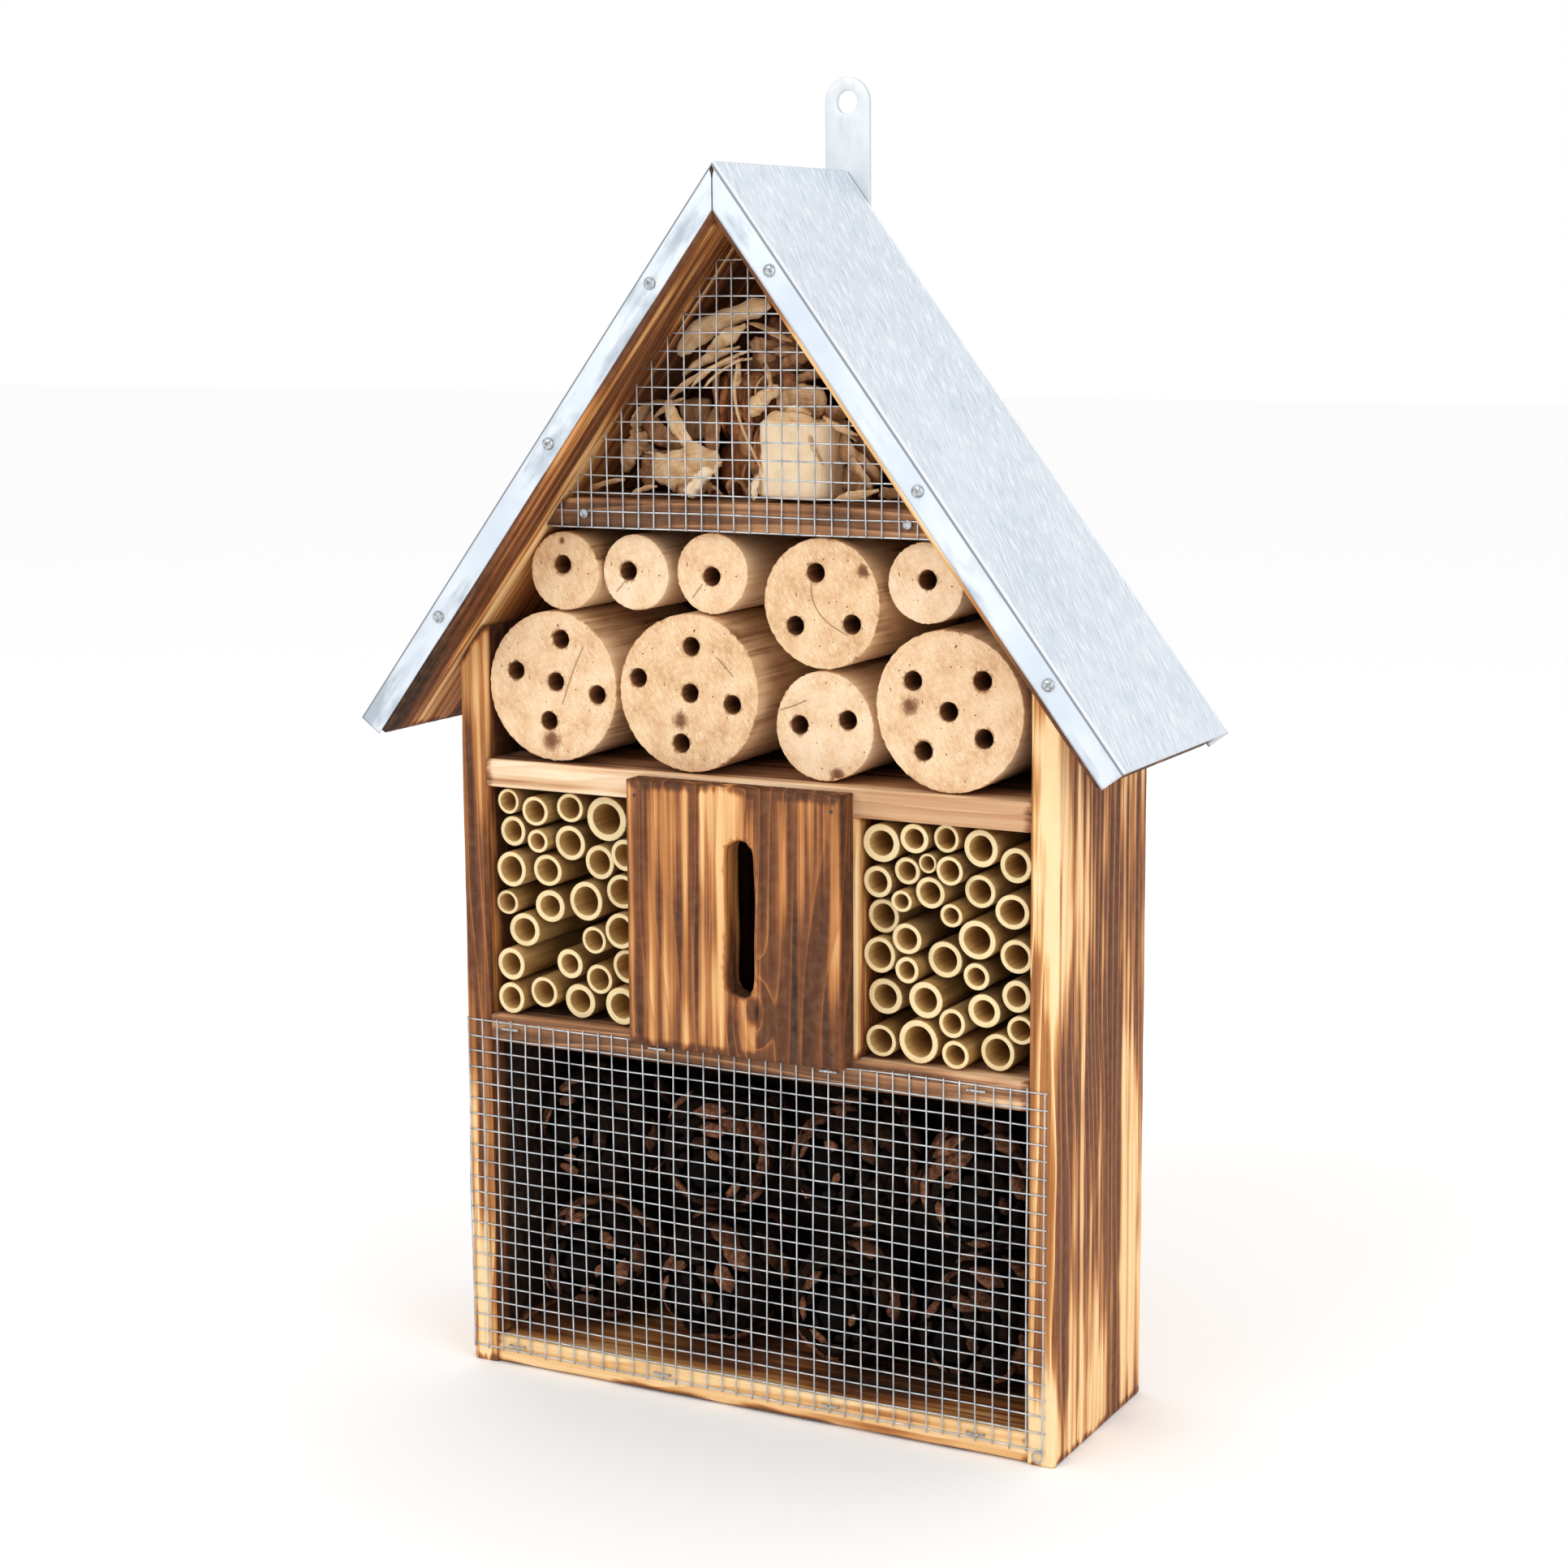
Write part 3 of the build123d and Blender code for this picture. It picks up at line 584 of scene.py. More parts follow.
panel_low, panel_high = corners("back_panel")
half = panel_high[0]
panel_eave = panel_high[2] - half * tan(roof_slope)
pentagon = np.array([(-half, panel_low[2]), (half, panel_low[2]), (half, panel_eave),
                     (0, panel_high[2]), (-half, panel_eave)])
strap_low, strap_high = corners("hanger_strap")
screw_holes = [circle(0, strap_low[2] + drop * mm, 1.75 * mm) for drop in (14, 36)]
back_flame = pine("flamed_back_pine", honey_tones, 0.6, 0.007)
shell = Shell("grain", "rim", "soot")
pierced_block(shell, polygon(pentagon, 3 * mm), screw_holes, panel_low[1], panel_high[1], 0.5 * mm,
              4 * mm, lambda x, z: -brushed(z, x, 3), upright_grain, rows=4)
shell.make("back_panel", back_flame)


# Butterfly board: a flamed board in front of the dividers, with an upright slot that was
# cut by hand, so its walls waver, and a dark knot under the slot. Four nails hold it.

board_low, board_high = corners("butterfly_board")
slot_half = np.array([6.0, 28.5]) * mm
slot_middle = np.array([3 * mm, (board_low[2] + board_high[2]) / 2 + 1.5 * mm])
knot_place = (board_low[2] + 18 * mm, 8 * mm, board_low[1])


def slot_outline():
    """Two half circles joined by straight sides, all pushed in a little at random places."""
    turn = np.linspace(0, 2 * pi, 96, endpoint=False)
    side = np.sign(np.sin(turn)) * (slot_half[1] - slot_half[0]) * np.minimum(1, np.abs(np.sin(turn)) * 2.2)
    ring = np.c_[slot_half[0] * np.cos(turn), side + slot_half[0] * np.sin(turn)]
    stretch = np.clip(np.abs(ring[:, 1]) - slot_half[1] + slot_half[0], 0, slot_half[0])
    ring[:, 0] = np.sign(ring[:, 0]) * np.sqrt(np.maximum(slot_half[0] ** 2 - stretch ** 2, 0))
    waver = 0.25 * mm * (np.sin(5 * turn + 1) + 0.6 * np.sin(13 * turn) - 1.6)
    return slot_middle + ring * (1 + (waver / slot_half[0])[:, None] * (1, 0.1))


def board_relief(x, z):
    """The brushed face, with a low swelling round the knot and a small tear at lower left."""
    knot = np.exp(-((x - knot_place[1]) ** 2 + (z - knot_place[0]) ** 2) / (5 * mm) ** 2)
    tear = np.exp(-((x + 38.5 * mm) ** 2 + (z - board_low[2] - 4 * mm) ** 2) / (1.6 * mm) ** 2)
    return -brushed(z, x, 5) * (1 - 0.7 * knot) + 0.5 * mm * tear


def butterfly_grain(points, kind):
    rim = np.minimum(points[:, 2] - board_low[2], board_high[2] - points[:, 2])
    sides = np.minimum(points[:, 0] - board_low[0], board_high[0] - points[:, 0])
    rim = np.minimum(rim, sides + 1.0 * mm)
    x = points[:, 0] / mm
    shade = 0.12 + 0.1 * np.clip((x - 12) / 12, 0, 1) + 0.08 * np.clip((-14 - x) / 10, 0, 1)
    soot = {"rear": 0.6, "hole": 0.3}.get(kind, shade)
    return {"grain": points[:, [2, 0, 1]], "rim": rim, "soot": soot}


butterfly_flame = pine("flamed_butterfly_pine", honey_tones, 0.8, 0.0075, knot_place, 0.0065)
board_corners = np.array([board_low[[0, 2]], (board_high[0], board_low[2]), board_high[[0, 2]],
                          (board_low[0], board_high[2])])
shell = Shell("grain", "rim", "soot")
pierced_block(shell, polygon(board_corners, 1.5 * mm), [slot_outline()], board_low[1], board_high[1],
              0.8 * mm, 1.2 * mm, board_relief, butterfly_grain, rows=8)
shell.make("butterfly_board", butterfly_flame)


# Roof boards: two flamed boards a side, mitred at the ridge and square at the eave. They
# carry the sheet, and their undersides and eave ends are seen.

roof_thick, roof_gauge, drip, eave_length = 11 * mm, 0.6 * mm, 1.5 * mm, 35.6 * mm
body_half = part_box("right_side_board")[1].x
sheet_low, sheet_high = corners("roof_sheet")
ridge = sheet_high[2]
under_ridge = ridge - (roof_thick + roof_gauge) / cos(roof_slope)
eave_flame = pine("flamed_roof_pine", honey_tones, 0.66, 0.0058)


def roof_char_and_shade(points):
    """Painted shade, darker in the open gable's depth, and scorch along the front arris near the eave."""
    y, z = points[..., 1], points[..., 2]
    # Painted shade deepening into the open gable.
    deep = np.clip((y - front - 1 * mm) / (12 * mm), 0, 1) * 0.3
    near_arris = np.exp(-((y - sheet_low[1]) / (9 * mm)) ** 2)
    low_down = np.clip((eave_low + 75 * mm - z) / (45 * mm), 0, 1)
    return np.maximum(deep, 0.6 * near_arris * low_down)


plank_length = body_half / cos(roof_slope) + eave_length - drip
eave_low = under_ridge - plank_length * sin(roof_slope)
for side, word in ((-1, "left"), (1, "right")):
    for part in ("front", "rear"):
        node = f"{word}_roof_{part}_plank"
        low, high = corners(node)
        down = (side * cos(roof_slope), 0, -sin(roof_slope))
        outwards = (side * sin(roof_slope), 0, cos(roof_slope))
        base = (0, low[1], under_ridge)
        plank(node, (down, back_way, outwards), base, (plank_length, high[1] - low[1], roof_thick),
              eave_flame, soot=roof_char_and_shade, start=lambda a, t: -t * tan(roof_slope),
              step=1.3 * mm)


# Roof sheet: galvanised steel bent over the ridge, with a flange folded down at the front and
# the rear. The flanges are mitred at the ridge, where a small relief hole shows, and are
# slightly buckled between their screws.

slope_length = plank_length + drip + (roof_thick + roof_gauge) * tan(roof_slope)
flange, bend, mitre_gap = 9.7 * mm, 1.1 * mm, 0.5 * mm
screw_shares = {("front", -1): (0.19, 0.47, 0.79), ("front", 1): (0.17, 0.535, 0.847),
                ("rear", -1): (0.3, 0.72), ("rear", 1): (0.3, 0.72)}


def zinc_coat():
    """The zinc coat as fields: soft clouds, fine slanting dashes, grey smudges and roughness."""
    tree, r, given, result = effect(
        "zinc coat", {"Place": "Vector", "Smudge": "Float"},
        {"Light": "Float", "Dashes": "Float", "Smudges": "Float", "Rough": "Float", "Height": "Float"})
    place = given["Place"]
    tilted = r.add("VectorRotate", Vector=place, Angle=0.42).outputs[0]
    dashes = r.noise(r.stretch(tilted, 110.0, 760.0, 110.0), detail=2.0, rough=0.6)
    fine = r.noise(r.stretch(tilted, 300.0, 1900.0, 300.0), detail=1.0)
    crystals = r.add("TexVoronoi", Vector=place, Scale=150.0, feature="SMOOTH_F1", Smoothness=0.6)
    crystal = r.add("SeparateColor", crystals.outputs["Color"]).outputs[0]
    cloud = r.noise(place, 22.0, 4.0, 0.55)
    streak = r.noise(r.stretch(place, 30.0, 130.0, 130.0), detail=4.0, rough=0.6)
    light = r.weighed(crystal, 0.2, r.times(r.band(cloud, 0.3, 0.7), 0.8))
    smudges = r.band(r.weighed(streak, 0.7, cloud), 0.84, 1.06)
    r.feed(result["Light"], light)
    r.feed(result["Dashes"], r.weighed(fine, 0.15, dashes))
    r.feed(result["Smudges"], r.times(smudges, given["Smudge"]))
    r.feed(result["Rough"], r.weighed(light, -0.1, 0.5))
    r.feed(result["Height"], dashes)
    return tree


zinc = zinc_coat()


def folded_zinc(r):
    """Slopes with slanting dashes; plain flanges with smudges; a painted dark reflection in the
    fold and a painted highlight beside it. The sheet's lay is (down the slope, to the rear, down the flange)."""
    place = r.read("lay", "Vector")
    axes = r.add("SeparateXYZ", place).outputs
    middle, half = (sheet_low[1] + sheet_high[1]) / 2, (sheet_high[1] - sheet_low[1]) / 2
    flange_share = r.band(axes[2], 0.5 * bend, 1.2 * bend)
    # Painted dark reflection along each fold.
    painted_fold_reflection = r.times(r.band(axes[2], 0.05 * bend, 0.4 * bend), r.band(axes[2], 1.15 * bend, 0.8 * bend))
    # Painted highlight: a bright line on the slope beside each fold.
    beside = r.math("ABSOLUTE", r.less(axes[1], middle))
    beside = r.band(beside, half - bend - 1.5 * mm, half - bend - 0.9 * mm)
    out = r.group(zinc, Place=place, Smudge=0.8)
    slope = r.mix(out["Light"], (210, 218, 227), (223, 230, 238))
    slope = r.mix(r.band(out["Dashes"], 0.6, 0.7, 0.0, 0.65), slope, (246, 249, 252))
    slope = r.mix(r.band(out["Dashes"], 0.49, 0.4, 0.0, 0.4), slope, (168, 180, 193))
    slope = r.mix(r.times(beside, 0.7), slope, (250, 252, 255))
    plain = r.mix(out["Light"], (206, 216, 227), (235, 241, 247))
    plain = r.mix(out["Smudges"], plain, (158, 170, 182))
    colour = r.mix(flange_share, slope, plain)
    colour = r.mix(r.times(painted_fold_reflection, 0.8), colour, (92, 100, 108))
    height = r.times(out["Height"], r.weighed(flange_share, -0.9, 1.0))
    return {"Base Color": colour, "Roughness": out["Rough"], "Metallic": 0.8,
            "Normal": bump(r, height, 0.00004, 0.6)}


roof_zinc = finish("galvanised_roof", folded_zinc)


def sheet_line(inset):
    """A face of the folded sheet (y, drop) across a slope, set in from the outer face: flange,
    bend, top, bend, flange."""
    low_y, high_y = sheet_low[1], sheet_high[1]
    turn, radius = np.linspace(0, pi / 2, 7)[1:], bend - inset
    drops = np.linspace(flange, bend, flange_points)
    fore = np.r_[np.c_[np.full(flange_points, low_y + inset), drops],
                 np.c_[low_y + bend - radius * np.cos(turn), bend - radius * np.sin(turn)]]
    top = np.linspace(low_y + bend, high_y - bend, 26)[1:-1]
    aft = np.c_[low_y + high_y - fore[::-1, 0], fore[::-1, 1]]
    return np.vstack([fore, np.c_[top, np.full(24, inset)], aft])


flange_points = 9
outer_line, inner_line = sheet_line(0.0), sheet_line(roof_gauge)
loop = np.vstack([outer_line, inner_line[::-1]])
across, down = loop.T
on_flange = np.zeros(len(outer_line), bool)
on_flange[:flange_points] = on_flange[-flange_points:] = True
flange_share = np.clip((down - bend) / (flange - bend), 0, 1)
facing = np.where(across < (sheet_low[1] + sheet_high[1]) / 2, 1.0, -1.0)
rows_along = np.r_[0, 0.4, 1.0, 2.2, np.arange(5, slope_length / mm - 3, 4), slope_length / mm - 1.2,
                   slope_length / mm] * mm
mitre = (mitre_gap / 2 + down * sin(roof_slope)) / cos(roof_slope)
relief_hole = 0.7 * mm * np.exp(-((down - 1.3 * mm) / (0.8 * mm)) ** 2) / cos(roof_slope)
first = np.where(down > bend * 0.99, mitre + relief_hole, down * tan(roof_slope))
s = first + (rows_along[:, None] / slope_length) * (slope_length - first)
breadth = np.sin(pi * (across - sheet_low[1]) / (sheet_high[1] - sheet_low[1]))
sag = 0.05 * mm * (1 - flange_share) * (down < bend) * breadth * (1 + np.sin(s / (23 * mm)))
drop = down + sag
shell = Shell("lay")
for side in (-1, 1):
    buckle = 0.1 * mm * (1 + np.sin(2 * pi * s / (71 * mm) + side)) * (1 - np.exp(-s / (20 * mm)))
    for face, here in (("front", facing > 0), ("rear", facing < 0)):
        for share in screw_shares[face, side]:
            buckle += 0.22 * mm * here * np.exp(-((s - share * slope_length) / (7 * mm)) ** 2)
    y = across + facing * flange_share * buckle
    points = spots(side * (s * cos(roof_slope) - drop * sin(roof_slope)), y,
                   ridge - s * sin(roof_slope) - drop * cos(roof_slope))
    points[0, ~np.r_[on_flange, on_flange[::-1]], 0] = 0.0
    lay = spots(s + (side + 1) * 0.3, y, drop)
    shell.loft(points, lay=lay)
    count = len(outer_line)
    index = np.arange(count - 1)
    quads = np.stack([index, index + 1, 2 * count - 2 - index, 2 * count - 1 - index], -1)
    shell.add(points[-1], quads, lay=lay[-1])
    shell.add(points[0], quads[on_flange[:-1] & on_flange[1:]], lay=lay[0])
shell.make("roof_sheet", roof_zinc)


# Roof screws: small round-headed zinc screws with a dimple, through the flanges into the
# boards. The other fixings keep their modelled shapes and only get a metal.

def turned(shell, profile, x, y, z, around=20, **marks):
    """A profile (out, along) turned about a line along Y; a zero at either end closes it."""
    out, along = np.array(profile).T
    turn = np.linspace(0, 2 * pi, around, endpoint=False)
    rows = spots(x + out[:, None] * np.cos(turn), y + along[:, None], z + out[:, None] * np.sin(turn))
    shell.loft(rows[1:-1], **marks)
    for ring, tip in ((rows[1], rows[0, :1]), (rows[-2], rows[-1, :1])):
        index = np.arange(around)
        fan = np.c_[index, np.roll(index, -1), np.full(around, around)]
        shell.add(np.vstack([ring, tip]), fan, **marks)


def screw_zinc(r):
    place = r.add("TexCoord").outputs["Object"]
    grime = r.noise(place, 900.0, 3.0)
    ring = r.noise(place, 3000.0, 1.0)
    colour = r.ramp(grime, (0.3, (122, 124, 126)), (0.6, (196, 200, 204)), (0.8, (220, 224, 228)))
    return {"Base Color": colour, "Metallic": 0.9, "Roughness": r.band(grime, 0.3, 0.7, 0.55, 0.32),
            "Normal": bump(r, ring, 0.00005, 0.4)}


fixing_zinc = finish("zinc_fixings", screw_zinc)
head_height = 1.2
head_profile = ((0, 0.55), (0.35, 0.5), (0.62, 0.22), (0.82, 0.04), (1.15, 0.06), (1.6, 0.22), (1.95, 0.46),
                (2.17, 0.76), (2.25, 1.0), (2.22, 1.2), (1.1, 1.2), (1.1, 12.0), (0, 13.0))
for face, y, way in (("front", sheet_low[1] - head_height * mm, 1),
                     ("rear", sheet_high[1] + head_height * mm, -1)):
    shell = Shell()
    for side in (-1, 1):
        for share in screw_shares[face, side]:
            s, drop = share * slope_length, flange / 2
            x = side * (s * cos(roof_slope) - drop * sin(roof_slope))
            z = ridge - s * sin(roof_slope) - drop * cos(roof_slope)
            turned(shell, [(out * mm, way * along * mm) for out, along in head_profile], x, y, z)
    node = f"{face}_roof_screws"
    shell.make(node, fixing_zinc)


def nail_steel(r):
    """Dull brown steel, so that a nail's head is lost in the scorched board."""
    grime = r.noise(r.add("TexCoord").outputs["Object"], 1200.0, 3.0)
    return {"Base Color": r.ramp(grime, (0.3, (58, 42, 32)), (0.7, (104, 82, 64))), "Metallic": 0.5,
            "Roughness": r.band(grime, 0.3, 0.7, 0.7, 0.5), "Normal": bump(r, grime, 0.00005, 0.4)}


dull_nail = finish("dull_nail", nail_steel)
for node, metal in (("hanger_screws", fixing_zinc), ("back_panel_nails", fixing_zinc),
                    ("butterfly_board_nails", dull_nail), ("lower_mesh_staples", fixing_zinc),
                    ("gable_mesh_nails", fixing_zinc)):
    frame["nodes"][node].data.materials.clear()
    frame["nodes"][node].data.materials.append(metal)


# Hanging strap: flat zinc-coated steel with a round top, punched with a hole for a wall hook,
# screwed to the back panel.

def strap_steel(r):
    out = r.group(zinc, Place=r.read("lay", "Vector"), Smudge=0.4)
    colour = r.mix(out["Light"], (196, 202, 208), (228, 231, 234))
    colour = r.mix(out["Smudges"], colour, (165, 172, 178))
    return {"Base Color": colour, "Roughness": out["Rough"], "Metallic": 0.85,
            "Normal": bump(r, out["Height"], 0.00003, 0.6)}


def strap_marks(points, kind):
    return {"lay": points[:, [2, 0, 1]] + (0.7, 0.2, 0.0)}


strap_half = strap_high[0]
strap_middle = strap_high[2] - strap_half
arc = np.linspace(0, pi, 33)
strap_outline = np.vstack([
    polygon(np.array([(-strap_half, strap_low[2]), (strap_half, strap_low[2])]), 2 * mm)[:9],
    np.c_[np.full(41, strap_half), np.linspace(strap_low[2], strap_middle, 42)[:-1]],
    np.c_[strap_half * np.cos(arc), strap_middle + strap_half * np.sin(arc)],
    np.c_[np.full(40, -strap_half), np.linspace(strap_middle, strap_low[2], 42)[1:-1]],
])
strap_zinc = finish("galvanised_strap", strap_steel)
strap_holes = [circle(0, strap_middle, 4.25 * mm, 36)]
strap_holes += [circle(0, strap_low[2] + drop * mm, 2.0 * mm) for drop in (14, 36)]
shell = Shell("lay")
pierced_block(shell, strap_outline, strap_holes, strap_low[1], strap_high[1], 0.3 * mm, 2 * mm,
              lambda x, z: 0.05 * mm * (1 + np.sin(z / (11 * mm))), strap_marks, rows=4)
shell.make("hanger_strap", strap_zinc)


# Wire meshes: quarter-inch welded mesh of thin galvanised wire. Upright wires lie in front of
# the level ones, and none is quite straight. One wire's end is curled into an eye.

wire_radius = 0.32 * mm
wire_rng = np.random.default_rng(11)


def wires(shell, starts, ends, across):
    """Round wires between start and end points: each wanders a little in its own plane.
    Its section is set on the two directions square to its run."""
    turn = np.linspace(0, 2 * pi, 6, endpoint=False)
    for start, end in zip(starts, ends):
        length = np.linalg.norm(end - start)
        share = np.linspace(0, 1, max(4, round(length / (3.2 * mm))))[:, None]
        run, along = (end - start) / length, share * length
        phase, wave = wire_rng.uniform(0, 2 * pi, 2), wire_rng.uniform(0.06, 0.2) * mm
        wander = wave * (np.sin(along / (14 * mm) + phase[0]) + 0.6 * np.sin(along / (41 * mm) + phase[1]))
        deep = 0.08 * mm * np.sin(along / (9 * mm) + phase[1])
        spine = start + share * (end - start) + wander * across + deep * (0, 1, 0)
        ring = wire_radius * (np.outer(np.cos(turn), across) + np.outer(np.sin(turn), np.cross(run, across)))
        rows = spine[:, None] + ring
        lay = spots(along, phase[0] * 0.05, turn * wire_radius)
        shell.tube(rows, lay=lay)


def wire_zinc(r):
    place = r.read("lay", "Vector")
    dull = r.noise(place, 160.0, 3.0)
    flecks = r.noise(place, 2200.0, 2.0)
    colour = r.ramp(dull, (0.3, (168, 171, 174)), (0.55, (204, 207, 210)), (0.75, (228, 231, 234)))
    colour = r.mix(r.band(flecks, 0.62, 0.75, 0.0, 0.5), colour, (128, 124, 118))
    return {"Base Color": colour, "Metallic": 0.8, "Roughness": r.band(dull, 0.3, 0.7, 0.5, 0.34),
            "Normal": bump(r, flecks, 0.00004, 0.4)}


mesh_zinc = finish("galvanised_wire", wire_zinc)
x_way, z_way = np.array((1.0, 0, 0)), np.array((0, 0, 1.0))
level_y = front - 0.34 * mm
upright_y = level_y - 1.5 * wire_radius


def evenly(low, high, pitch):
    """Wire places from edge to edge, as near the pitch as fits, each a little off."""
    count = max(1, round((high - low) / pitch))
    places = np.linspace(low, high, count + 1)
    places[1:-1] += wire_rng.normal(0, 0.16 * mm, count - 1)
    return places


mesh_low, mesh_high = corners("lower_mesh")
xs = evenly(mesh_low[0] + 0.4 * mm, mesh_high[0] - 0.4 * mm, 6.35 * mm)
zs = evenly(mesh_low[2] + 0.4 * mm, mesh_high[2] - 0.4 * mm, 6.1 * mm)
stub = wire_rng.uniform(0.5, 1.3, (2, len(xs))) * mm
shell = Shell("lay")
wires(shell, spots(xs, upright_y, zs[0] - stub[0]), spots(xs, upright_y, zs[-1] + stub[1]), x_way)
wires(shell, spots(xs[0] - 0.3 * mm, level_y, zs), spots(xs[-1] + 0.8 * mm, level_y, zs), z_way)
shell.make("lower_mesh", mesh_zinc, merge=1e-7)

curl_low, curl_high = corners("wire_curl")
curl_middle = (curl_low + curl_high) / 2
curl_radius = (curl_high[0] - curl_low[0]) / 2 - wire_radius
turn = np.linspace(0.2, 2 * pi + 0.1, 34)
outwards = spots(np.cos(turn), 0, np.sin(turn))
advance = np.outer(0.5 * mm * (0.5 - turn / (2 * pi)), (0, 1, 0))
spine = curl_middle + curl_radius * outwards + advance
section = np.linspace(0, 2 * pi, 8, endpoint=False)[:, None]
around = np.cos(section) * outwards[:, None] + np.sin(section) * (0, 1, 0)
rows = spine[:, None] + 1.1 * wire_radius * around
shell = Shell("lay")
shell.loft(rows, lay=rows * 0.2)
shell.cap(rows[0])
shell.cap(rows[-1])
shell.make("wire_curl", mesh_zinc, merge=1e-7)

mesh_low, mesh_high = corners("gable_mesh")
low_z = mesh_low[2] + 0.4 * mm
peak = under_ridge - 0.6 * mm / cos(roof_slope)
half_width = (peak - low_z) / tan(roof_slope) - 0.8 * mm
xs = evenly(-half_width, half_width, 6.35 * mm)
top = np.minimum(peak - np.abs(xs) * tan(roof_slope), mesh_high[2]) - 0.5 * mm
zs = evenly(low_z, mesh_high[2] - 0.6 * mm, 6.1 * mm)
reach = np.minimum((peak - zs) / tan(roof_slope), half_width + 0.4 * mm) - 0.5 * mm
long_enough = top > low_z + 3 * mm
xs, top = xs[long_enough], top[long_enough]
shell = Shell("lay")
wires(shell, spots(xs, upright_y, low_z - 0.3 * mm), spots(xs, upright_y, top), x_way)
wires(shell, spots(-reach, level_y, zs), spots(reach, level_y, zs), z_way)
shell.make("gable_mesh", mesh_zinc, merge=1e-7)


# Branch logs: peeled lengths of branch, sawn across and drilled with blind holes. The saw
# leaves fine lines, loose fibres at the rim and brown specks, and drying opens small checks.

def sawn_end(name, pale, mid, dark, side_dark):
    """On the sawn end, rings about the pith, saw lines and specks; on the side, long fibre."""
    def build(r):
        place = r.read("grain", "Vector")
        deep, cut, crack, knot = r.read("deep"), r.read("cut"), r.read("crack"), r.read("knot")
        flat = r.stretch(place, 1.0, 0.0, 1.0)
        wander = r.noise(flat, 60.0, 2.0)
        out = r.weighed(wander, 0.004, r.length(flat))
        rings = r.math("SINE", r.times(out, 2 * pi / 0.0026))
        blotch = r.noise(flat, 95.0, 4.0, 0.6)
        tilted = r.add("VectorRotate", Vector=flat, Axis=(0, 1, 0), Angle=0.5).outputs[0]
        saw = r.noise(r.stretch(tilted, 3200.0, 0.0, 160.0), detail=2.0)
        pores = r.noise(flat, 1500.0, 3.0, 0.7)
        specks = r.band(r.noise(flat, 560.0, 1.0), 0.7, 0.76)
        cloth = r.noise(r.stretch(tilted, 900.0, 0.0, 300.0), detail=3.0, rough=0.7)
        level = r.weighed(rings, 0.018, r.weighed(saw, 0.3, blotch))
        face = r.ramp(level, (0.42, dark), (0.6, mid), (0.78, pale))
        face = r.mix(r.band(pores, 0.48, 0.68, 0.0, 0.6), face, dark)
        face = r.mix(r.band(cloth, 0.5, 0.34, 0.0, 0.5), face, (250, 228, 196))
        face = r.mix(r.times(specks, 0.9), face, (112, 70, 40))
        ragged = r.weighed(r.noise(flat, 480.0, 4.0, 0.75), 1.1, knot)
        face = r.mix(r.band(ragged, 0.72, 1.3, 0.0, 0.85), face, (136, 84, 50))
        face = r.mix(r.band(ragged, 1.15, 1.5, 0.0, 0.6), face, (86, 50, 30))
        face = r.mix(r.times(crack, 0.85), face, (104, 66, 40))
        fibre = r.noise(r.stretch(place, 700.0, 14.0, 700.0), detail=3.0)
        stain = r.noise(r.stretch(place, 70.0, 22.0, 70.0), detail=3.0)
        bark = r.ramp(r.weighed(fibre, 0.5, stain), (0.5, side_dark), (0.72, mid), (0.98, pale))
        colour = r.mix(cut, bark, face)
        hole = r.ramp(fibre, (0.3, (92, 56, 30)), (0.7, (150, 98, 58)))
        # Painted shade: the hole darkens towards its blind end.
        hole = r.mix(r.band(deep, 0.08, 0.5), hole, (38, 22, 12))
        colour = r.mix(r.band(deep, 0.0, 0.02), colour, hole)
        height = r.weighed(r.times(saw, cut), 0.6, r.times(pores, 0.5))
        height = r.weighed(fibre, 0.5, height)
        return {"Base Color": colour, "Roughness": r.band(blotch, 0.3, 0.7, 0.72, 0.86),
                "Specular IOR Level": 0.25, "Normal": bump(r, height, 0.0003, 0.55)}
    return finish(name, build)


log_woods = [
    sawn_end("sawn_branch_pale", (242, 212, 174), (230, 192, 150), (204, 158, 116), (150, 106, 66)),
    sawn_end("sawn_branch_tan", (238, 206, 166), (224, 184, 140), (194, 148, 106), (140, 96, 58)),
    sawn_end("sawn_branch_cream", (245, 219, 186), (234, 200, 160), (210, 168, 126), (158, 112, 72)),
]
openings = frame["record"]["physics"]["openings"]
log_names = [f"log_lower_{n}" for n in range(1, 5)] + [f"log_upper_{n}" for n in range(1, 6)]
log_cracks = {
    "log_upper_4": ((-3.5, 9), (-4.5, 4), (-2.5, -2), (2.5, -7), (9.5, -10.5)),
    "log_lower_1": ((13, 15), (9, 7), (4, -6)),
    "log_lower_2": ((12, 13), (16, 9), (18, 7)),
    "log_lower_3": ((-17, 5), (-11, 7), (-7, 9)),
    "log_upper_2": ((-8, -7), (-5, -4)),
    "log_upper_3": ((-8, -9), (-4, -4)),
}
no_crack, no_knot = ((99, 99), (100, 100)), (99, 99, 1)
log_knots = {
    "log_lower_1": (-1, -20, 4.2), "log_lower_2": (-3.5, -10, 3.4), "log_lower_3": (5, -17, 3.2),
    "log_lower_4": (-14.5, 1, 3.6), "log_upper_4": (16, 12, 3.0), "log_upper_1": (-1, 11, 1.4),
}


def rounded(line, times=3):
    """A bent line with its corners cut off again and again, a quarter of each run at a time."""
    for _ in range(times):
        cuts = [line[:-1] * 0.75 + line[1:] * 0.25, line[:-1] * 0.25 + line[1:] * 0.75]
        line = np.vstack([line[:1], np.stack(cuts, 1).reshape(-1, 2), line[-1:]])
    return line


